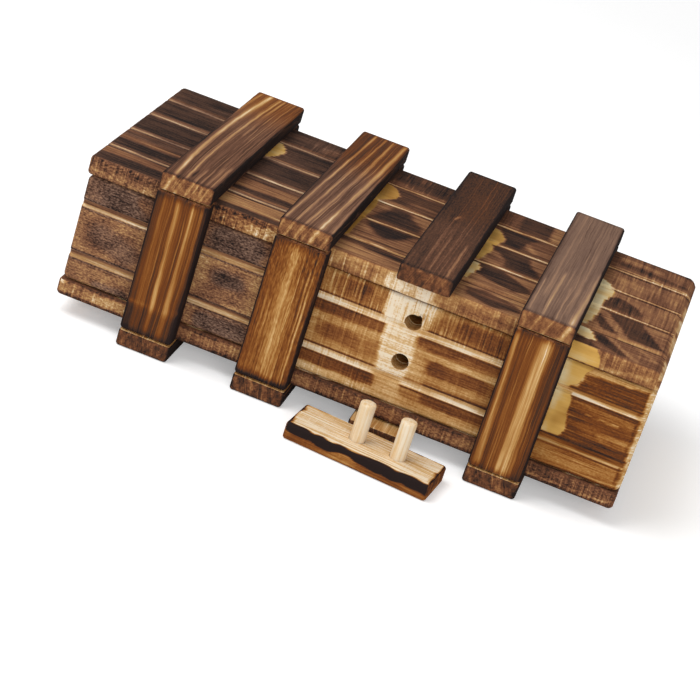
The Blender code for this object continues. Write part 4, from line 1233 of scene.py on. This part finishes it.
# The floor is a wide pale sheet under the box. The camera sees it as white where no shadow
# falls, and it keeps the box's shadow.
FLOOR_REACH = 4.0
FLOOR_COLOUR = (0.86, 0.86, 0.86, 1)
FLOOR_GLOW = (0.30, 0.66)
GLOW_REACH = (0.5, 1.6)


def pale_floor():
    """A big square that keeps shadows and glows a little for the camera, more far away,
    where the lamps give less."""
    mesh = bpy.data.meshes.new("floor")
    corners = FLOOR_REACH * np.array([(-1, -1, 0), (1, -1, 0), (1, 1, 0), (-1, 1, 0)])
    mesh.from_pydata(corners.tolist(), [], [(0, 1, 2, 3)])
    floor = bpy.data.objects.new("floor", mesh)
    bpy.context.scene.collection.objects.link(floor)
    material = bpy.data.materials.new("pale_floor")
    material.use_nodes = True
    tree = material.node_tree
    seen = add_node(tree, "ShaderNodeLightPath", {})["Is Camera Ray"]
    shader = tree.nodes["Principled BSDF"].inputs
    shader["Base Color"].default_value = FLOOR_COLOUR
    shader["Roughness"].default_value = 0.8
    shader["Specular IOR Level"].default_value = 0.1
    shader["Emission Color"].default_value = (1, 1, 1, 1)
    place = add_node(tree, "ShaderNodeTexCoord", {})["Object"]
    far = add_node(tree, "ShaderNodeVectorMath", {0: place}, operation="LENGTH")["Value"]
    glow = sums(tree, seen, ranged(tree, far, *GLOW_REACH, *FLOOR_GLOW), 0.0)
    tree.links.new(glow, shader["Emission Strength"])
    mesh.materials.append(material)


pale_floor()


# Light comes from a large soft box above and to the left, a weaker one in front, and an
# even surround. The camera, glossy surfaces and clear surfaces see the surround as white.
SURROUND = 0.42
LIT_SPOT = Vector((0, 0, 0.02))


def soft_box(name, place, size, power):
    """An oblong lamp of the given size in metres, turned towards the middle of the box."""
    lamp = bpy.data.lights.new(name, "AREA")
    lamp.shape = "RECTANGLE"
    lamp.size, lamp.size_y = size
    lamp.energy = power
    holder = bpy.data.objects.new(name, lamp)
    holder.location = place
    aim = LIT_SPOT - Vector(place)
    holder.rotation_euler = aim.to_track_quat("-Z", "Y").to_euler()
    bpy.context.scene.collection.objects.link(holder)


soft_box("soft_box_above", place=(-0.45, -0.25, 0.95), size=(0.7, 0.7), power=8.0)
soft_box("soft_box_front", place=(0.35, -1.0, 0.45), size=(0.9, 0.6), power=5.0)

world = bpy.data.worlds.new("surround")
bpy.context.scene.world = world
world.use_nodes = True
tree = world.node_tree
rays = add_node(tree, "ShaderNodeLightPath", {})
seen = add_node(tree, "ShaderNodeMath", {0: rays["Is Camera Ray"], 1: rays["Is Glossy Ray"]},
                operation="MAXIMUM")[0]
seen = add_node(tree, "ShaderNodeMath", {0: seen, 1: rays["Is Transmission Ray"]},
                operation="MAXIMUM")[0]
background = tree.nodes["Background"].inputs
background["Color"].default_value = (1, 1, 1, 1)
tree.links.new(ranged(tree, seen, 0, 1, SURROUND, 1.0), background["Strength"])


# The camera stands in front, a little to the right of the box's middle and above it, with
# a long lens, and is rolled so that the box leans down to the right.
CAMERA_PLACE = (0.07336, -0.56240, 0.26284)
CAMERA_TURN = (64.739, -16.468, 15.295)
CAMERA_ANGLE = 17.70
lens = bpy.data.cameras.new("camera")
lens.angle = math.radians(CAMERA_ANGLE)
lens.clip_start = 0.01
camera = bpy.data.objects.new("camera", lens)
camera.location = CAMERA_PLACE
camera.rotation_euler = [math.radians(angle) for angle in CAMERA_TURN]
bpy.context.scene.collection.objects.link(camera)
bpy.context.scene.camera = camera
bpy.context.scene.view_settings.view_transform = "Standard"
